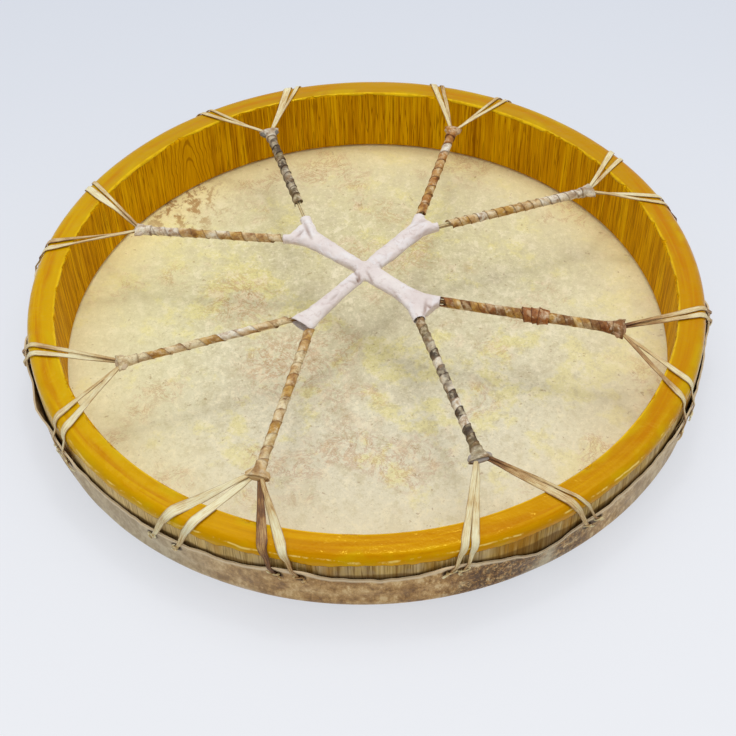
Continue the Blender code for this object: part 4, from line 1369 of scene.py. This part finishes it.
# %% Wind all eight
# Pitch, then the outer radius on the spoke and at the collar, how far the collar goes past the
# fork, its half height there, and the number of strips wound side by side: lengths in millimetres.
WINDINGS = {
    1: (7.5, 2.9, 3.4, 3.5, 2.5, 1), 2: (11.0, 3.4, 4.0, 4.0, 2.7, 1),
    3: (9.0, 3.5, 4.0, 3.5, 3.0, 1), 4: (10.0, 3.2, 3.5, 3.5, 2.4, 1),
    5: (13.0, 2.9, 3.6, 4.0, 2.6, 1), 6: (11.0, 3.3, 4.0, 5.5, 2.8, 1),
    7: (8.0, 3.3, 3.8, 6.0, 2.6, 1), 8: (12.5, 3.3, 4.2, 5.0, 3.0, 2),
}
STRIP, STRIP_LAP = 0.0005, 0.0020
CORE = 0.00195
PLUG_HALF, PLUG_BACK, PLUG_TIGHT = 0.0046, 0.0030, 0.0003


def strip_sizes(number, place):
    """Outer half width and half height of a winding at a place along it, in millimetres."""
    _, spoke_radius, collar_radius, past, squeezed, _ = WINDINGS[number]
    from_fork = (place - wrap_span(number)[2]) * 1000
    collar = hill(min(0.0, from_fork + 3), 0, 5)
    swell = 0.22 * wobble(place * 70, number * 2.3, 0)
    outer = spoke_radius + swell + (collar_radius - spoke_radius) * collar
    beyond = max(0.0, from_fork + 2.0)
    flatter = min(1.0, beyond / (past + 2.0))
    slope = sum(leg_slopes(number)) / 2
    return outer + slope * beyond * 0.85, outer + (squeezed - outer) * flatter


for number, (pitch, _, _, past, _, starts) in WINDINGS.items():
    start, along, length = wrap_span(number)
    total = length + past / 1000

    def radii(place):
        wide, tall = strip_sizes(number, place)
        return max(wide / 1000 - STRIP, CORE), max(tall / 1000 - STRIP, CORE * 0.9)

    shape = wind(
        Vector((*start, LACE_HEIGHT)), Vector((*along, 0)), total, radii, pitch / 1000, STRIP_LAP,
        STRIP, lambda share, turn, across: dyed(number, share, turn, across), number, starts,
    )
    piece = wound(
        f"wrap_{number}_winding", shape, strip_finish(f"wrap_{number}_strip", 0.6),
        f"wrap_{number}", STRIP,
    )
    print(f"strip {number}: {len(piece.data.polygons)} faces, {total * 1000:.0f} mm long")

# %% Plug the crotches of the forks
for number, (_, _, _, past, _, _) in WINDINGS.items():
    start, along, length = wrap_span(number)
    total = length + past / 1000
    wide, tall = strip_sizes(number, total)
    plug = bmesh.new()
    bmesh.ops.create_icosphere(plug, subdivisions=4, radius=1.0)
    dye = plug.verts.layers.float_color.new("dye")
    layers = [plug.verts.layers.float.new(name) for name in ("along", "across")]
    side = Vector((-along.y, along.x))
    for vert in plug.verts:
        place = vert.co.copy()
        lump = 1 + 0.10 * noise.noise(place * 2.2 + Vector((number, 0, 0)))
        vert[layers[0]] = number + 0.004 * math.atan2(place.z, place.y)
        vert[layers[1]] = 0.2 + 0.6 * abs(place.x)
        vert[dye] = dyed(number, 0.97, place.y * 3, 0.5)
        spot = start + along * (total - PLUG_BACK + place.x * lump * PLUG_HALF)
        spot += side * place.y * lump * (wide / 1000 - PLUG_TIGHT)
        level = LACE_HEIGHT + place.z * lump * (tall / 1000 - PLUG_TIGHT)
        vert.co = Vector((*spot, level))
    bmesh.ops.recalc_face_normals(plug, faces=plug.faces)
    put(
        f"wrap_{number}_end", plug, bpy.data.materials[f"wrap_{number}_strip"],
        [f"wrap_{number}"], 60,
    )
print("plugs:", len(WINDINGS))

# %% [markdown]
# ## The tie on spoke 8
# Halfway along spoke 8 someone knotted on a short thick thong. It is wound three times round the
# strip, the same way as the strips, and a cord of it crosses over itself in a hard lump on top.

# %% Wind the tie
start, along, length = wrap_span(8)
side = Vector((-along.y, along.x))
TIE_AT = start + along * (length * 0.5 + 0.0055)
TIE_LENGTH, TIE_PITCH, TIE_LAP, TIE_STRIP = 0.0210, 0.0062, 0.0016, 0.0008
TIE_INNER, TIE_BELLY = 0.0039, 0.0015
TIE_DARK, TIE_LIGHTER = (150, 92, 38), (34, 30, 24)


def tie_radii(place):
    """The tie swells in its middle, but only sideways."""
    return TIE_INNER + TIE_BELLY * math.sin(math.pi * place / TIE_LENGTH), TIE_INNER - 0.0001


def tie_dye(share, turn, across):
    """The thong is lighter towards one side."""
    return chart(*[dark + more * across for dark, more in zip(TIE_DARK, TIE_LIGHTER)])


shape = wind(
    Vector((*(TIE_AT - along * TIE_LENGTH / 2), LACE_HEIGHT)), Vector((*along, 0)), TIE_LENGTH,
    tie_radii, TIE_PITCH, TIE_LAP, TIE_STRIP, tie_dye, 19,
)
wound("tie_8_thong", shape, strip_finish("tie_leather", 0.5), "tie_8", TIE_STRIP)
KNOT_STEPS, KNOT_SIDES, KNOT_TURNS = 90, 12, 1.6
KNOT_LONG, KNOT_WIDE, KNOT_CORD = 0.0052, 0.0034, 0.0015
knot_rows, knot_marks = [], []
for i in range(KNOT_STEPS + 1):
    t = i / KNOT_STEPS
    turn = math.tau * (KNOT_TURNS * t + 0.05)
    centre = TIE_AT + along * (KNOT_LONG * math.cos(turn) * (1 - 0.3 * t))
    centre += side * (KNOT_WIDE * math.sin(turn))
    level = LACE_HEIGHT + 0.0038 + 0.0009 * math.sin(2 * turn) - 0.0016 * abs(math.sin(turn))
    ahead = -along * KNOT_LONG * math.sin(turn) + side * KNOT_WIDE * math.cos(turn)
    ahead = ahead.normalized()
    across_way = Vector((-ahead.y, ahead.x, 0))
    thick = KNOT_CORD * (0.55 + 0.45 * math.sin(math.pi * t) ** 0.4)
    ring = oval(Vector((*centre, level)), across_way * 1.35 * thick, Z * 0.8 * thick, KNOT_SIDES)
    knot_rows.append(ring)
    across = [0.5 + 0.45 * math.cos(math.tau * k / KNOT_SIDES) for k in range(KNOT_SIDES)]
    knot_marks.append({"along": t * 0.05, "across": across})
knot = bmesh.new()
draw_rows(knot, knot_rows, knot_marks, ring=True)
dye = knot.verts.layers.float_color.new("dye")
for vert in knot.verts:
    tone = 0.5 + 0.5 * noise.noise(vert.co * 300)
    vert[dye] = chart(150 + 40 * tone, 92 + 40 * tone, 38 + 34 * tone)
bmesh.ops.recalc_face_normals(knot, faces=knot.faces)
put("tie_8_knot", knot, bpy.data.materials["tie_leather"], ["tie_8"], 60)
print("tie and its knot at", [round(v, 3) for v in TIE_AT])

# %% [markdown]
# ## The leather cross
# The grip is soft white leather drawn round the bundles of strands: four arms that meet in a
# crumpled middle. Three arms widen into a web with two short fingers, and the near left one stays
# open in a single wide mouth. The arms could be separate tubes, but the photograph shows no seam
# between them, so we overlap plain tubes and melt them into one skin with a voxel remesh, press
# creases into it, and then hollow its mouths.

# %% Tubes for the arms and fingers
def tube(shape, sections, sides=20, flat=0.8):
    """A closed tube through sections: centre in plan, direction, half width, half height."""
    rows = []
    for centre, along, half_width, half_height in sections:
        side = Vector((-along.y, along.x, 0))
        row = []
        for k in range(sides):
            turn = math.tau * k / sides
            x, y = squared(math.cos(turn), flat), math.sin(turn)
            row.append(Vector((*centre, LACE_HEIGHT)) + side * x * half_width + Z * y * half_height)
        rows.append(row)
    draw_rows(shape, rows, [{"along": float(i)} for i in range(len(rows))], ring=True)


# Half widths of each arm, in millimetres: by the crossing, at half its length, at three quarters,
# where its spokes part, and at the end of the web between them.
ARM_SHAPES = (
    (7.2, 7.6, 7.8, 8.0, 9.6), (6.0, 7.0, 7.8, 9.0, 11.4),
    (5.6, 5.8, 6.3, 8.0, 10.6), (8.4, 7.8, 7.8, 9.6, 12.6),
)
FINGER_WIDTHS = (3.6, 4.8, 4.6, 3.9, 4.4, 4.6, 5.0, 4.8)
OPEN_ARM, FINGER_SIDES = 2, 16
# Hollows of the open arm and of a finger, section by section: how far past the end, half width
# (in a finger the wall beside it), half height.
MOUTH = ((-0.013, 0.0050, 0.0022), (-0.007, 0.0080, 0.0036), (0.002, 0.0097, 0.0039))
BORE = ((-0.0075, 0.0015, 0.0030), (-0.002, 0.0010, 0.0034), (0.001, 0.0006, 0.0037))
blank = bmesh.new()
hollow = bmesh.new()
for arm, (degrees, length) in enumerate(zip(ARM_DIRECTIONS, ARM_LENGTHS)):
    along = direction(degrees)
    widths = [value / 1000 for value in ARM_SHAPES[arm]]
    end = length + WEB_LENGTHS[arm]
    tube(blank, [
        (GRIP_CENTRE + along * reach, along, wide, tall) for reach, wide, tall in zip(
            (-0.004, 0.010, length * 0.45, length * 0.75, length, end), (widths[0] * 0.9, *widths),
            (0.0040, 0.0044, 0.0042, 0.0042, 0.0042, 0.0046 if arm == OPEN_ARM else 0.0034),
        )
    ])
    if arm == OPEN_ARM:
        tube(hollow, [
            (GRIP_CENTRE + along * (end + past), along, wide, tall) for past, wide, tall in MOUTH
        ])
        continue
    for number in (2 * arm + 1, 2 * arm + 2):
        before, after, fork = spoke_line(number)[1:]
        way = (fork - after).normalized()
        tip = after + way * (FINGER_LENGTHS[number - 1] + 0.0016)
        wide = FINGER_WIDTHS[number - 1] / 1000
        tube(blank, [
            (before - along * 0.008, along, 0.0046, 0.0036),
            (after, (way + along).normalized(), 0.0054, 0.0042),
            (tip - way * 0.006, way, wide, 0.0041),
            (tip, way, wide + 0.0002, 0.0042),
        ], FINGER_SIDES, 1.0)
        tube(hollow, [
            (tip + way * past, way, wide - wall, tall) for past, wall, tall in BORE
        ], FINGER_SIDES, 1.0)
for shape in (blank, hollow):
    bmesh.ops.recalc_face_normals(shape, faces=shape.faces)
print("blank of", len(blank.faces), "faces")

# %% The leather's finish
leather = Finish("grip_leather", 0.72, 0.25)
pile = leather.cloud(900, 3, 0.6)
crumple = leather.cloud(170, 5, 0.6, None, 1.0)
slack_skin = leather.cloud(70, 3, 0.55, None, 0.6)
soiled = leather.cloud(38, 3)
pink = leather.shades(soiled, [
    (0.34, (222, 209, 205)), (0.5, (229, 218, 214)), (0.68, (236, 228, 223)),
])
pink = leather.washed(pink, [
    (slack_skin, 0.50, 0.62, 0.45, (236, 234, 236)), (crumple, 0.46, 0.32, 0.4, (196, 172, 164)),
])
# Painted shade: the leather darkens in its creases.
pink = leather.mixed(leather.stored("crease_shade"), pink, (170, 142, 126), "MULTIPLY")
leather.shader.inputs["Sheen Weight"].default_value = 0.25
leather.shader.inputs["Sheen Roughness"].default_value = 0.5
creased = leather.raised(slack_skin, 0.0022)
creased = leather.raised(crumple, 0.0010, creased)
creased = leather.raised(pile, 0.00025, creased)
leather_finish = leather.wear(Base_Color=pink, Normal=creased)
print("leather is nearly white with a pink cast")

# %% Melt, crease and hollow the cross
VOXEL = 0.0008
CROSS_NODES = [f"grip_sleeve_{arm}" for arm in (1, 2, 3, 4)] + ["grip_crossing"]
cross = put("grip_leather_cross", blank, leather_finish, CROSS_NODES, 80)
melt = cross.modifiers.new("melt", "REMESH")
melt.mode = "VOXEL"
melt.voxel_size = VOXEL
melt.use_smooth_shade = True
print("melted:", fix(cross), "faces")
# Each crease runs from one plan point to another, in millimetres, then how deep and how wide.
CREASES = (
    (-26, 20, -9, 7, 1.1, 1.1), (-9, 7, -5, -2, 1.2, 1.0), (-5, 3, -2, -11, 1.5, 1.1),
    (1, 5, 6, -11, 1.0, 1.0), (11, 13, 18, 6, 1.2, 1.1), (-46, 60, -40, 41, 1.1, 1.3),
    (-52, 44, -46, 53, 0.9, 1.2), (34, 50, 43, 56, 0.5, 1.0), (36, 38, 52, 51, 0.6, 1.3),
    (44, -27, 41.5, -45, 1.0, 1.2), (51, -31, 46, -43, 0.9, 1.2), (25, -28, 19, -15, 0.6, 1.2),
    (-20, -18, -26, -26, 0.6, 1.1), (-13, -5, -2, -9, 0.7, 1.2), (-6, -3, -1, -9, 2.2, 1.2),
    (-13, 11, -8, 7, 2.0, 1.2), (-46, 34, -14, 11, 0.7, 0.8), (43, -31, 50, -38, 1.1, 1.2),
    (40, 56, 52, 62, 0.5, 1.2),
)


def crease_depth(spot):
    """How far the leather is pressed in at a plan point, all in millimetres."""
    deepest = 0.0
    for x1, y1, x2, y2, depth, wide in CREASES:
        start, end = Vector((x1, y1)), Vector((x2, y2))
        way = end - start
        share = clamp((spot - start).dot(way) / way.dot(way))
        away = (spot - start.lerp(end, share)).length
        strength = depth * (0.4 + 0.6 * math.sin(math.pi * share))
        deepest = max(deepest, strength * hill(away, 0, wide))
    return deepest


skin = bmesh.new()
skin.from_mesh(cross.data)
for _ in range(3):
    bmesh.ops.smooth_vert(
        skin, verts=skin.verts, factor=0.5, use_axis_x=True, use_axis_y=True, use_axis_z=True,
    )
skin.normal_update()
crease_shade = skin.verts.layers.float.new("crease_shade")
for vert in skin.verts:
    place = vert.co - Vector((*GRIP_CENTRE, LACE_HEIGHT))
    heading = math.degrees(math.atan2(place.y, place.x)) % 360
    arm = min(range(4), key=lambda k: abs((heading - ARM_DIRECTIONS[k] + 180) % 360 - 180))
    along = direction(ARM_DIRECTIONS[arm])
    reach = place.xy.dot(along)
    aside = place.xy.cross(along)
    pleat = wobble(reach * 60, aside * 300, arm * 3.0)
    ring_fold = wobble(reach * 210 + aside * 60, aside * 40, arm * 7.0)
    rumple = noise.noise(vert.co * 150)
    middle = hill(place.length, 0, 0.016)
    sunk = crease_depth(vert.co.xy * 1000) * max(0.0, vert.normal.z) ** 0.5
    press = 0.00040 * pleat + 0.00030 * rumple + 0.00035 * ring_fold - 0.0002 - 0.001 * sunk
    press -= 0.0008 * middle * abs(noise.noise(vert.co * 120 + Vector((3, 1, 0))))
    # How much painted shade a point gets, from the depth of its crease.
    vert[crease_shade] = min(1.0, 0.7 * sunk)
    vert.co += vert.normal * press
skin.to_mesh(cross.data)
skin.free()
print("with mouths:", cut(cross, hollow, overlapping=True), "faces")
soften(cross.data, 60)

# %% [markdown]
# ## The knot in the middle
# All sixteen laces start at one knot under the crossing, where it is hardly seen. The plain model's
# knot has the right form, so it stays, and only gets the look of damp-twisted rawhide.

# %% The knot's finish
twine = Finish("knot_rawhide", 0.5)
coils = twine.node("TexWave", {
    "Vector": twine.stretched((1, 1, 1), 40), "Scale": 140.0, "Distortion": 3.0, "Detail": 2.0,
}, wave_type="BANDS", bands_direction="Z").outputs["Fac"]
knot_colour = twine.shades(coils, [(0.1, (120, 88, 50)), (0.6, (206, 184, 136))])
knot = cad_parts["centre_knot"]
knot.data.materials.clear()
knot.data.materials.append(twine.wear(Base_Color=knot_colour, Normal=twine.raised(coils, 0.0004)))
print("knot keeps", len(knot.data.polygons), "faces")

# %% [markdown]
# ## Measure and finish
# The finer drum has to keep the plain one's size. We print both boxes, so they can be compared.

# %% Compare the boxes
new_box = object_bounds()
sizes = {"plain": [list(map(float, corner)) for corner in plain_box],
         "visual": [list(map(float, corner)) for corner in new_box]}
for name, (low, high) in sizes.items():
    print(name, "mm:", [round((b - a) * 1000, 1) for a, b in zip(low, high)])
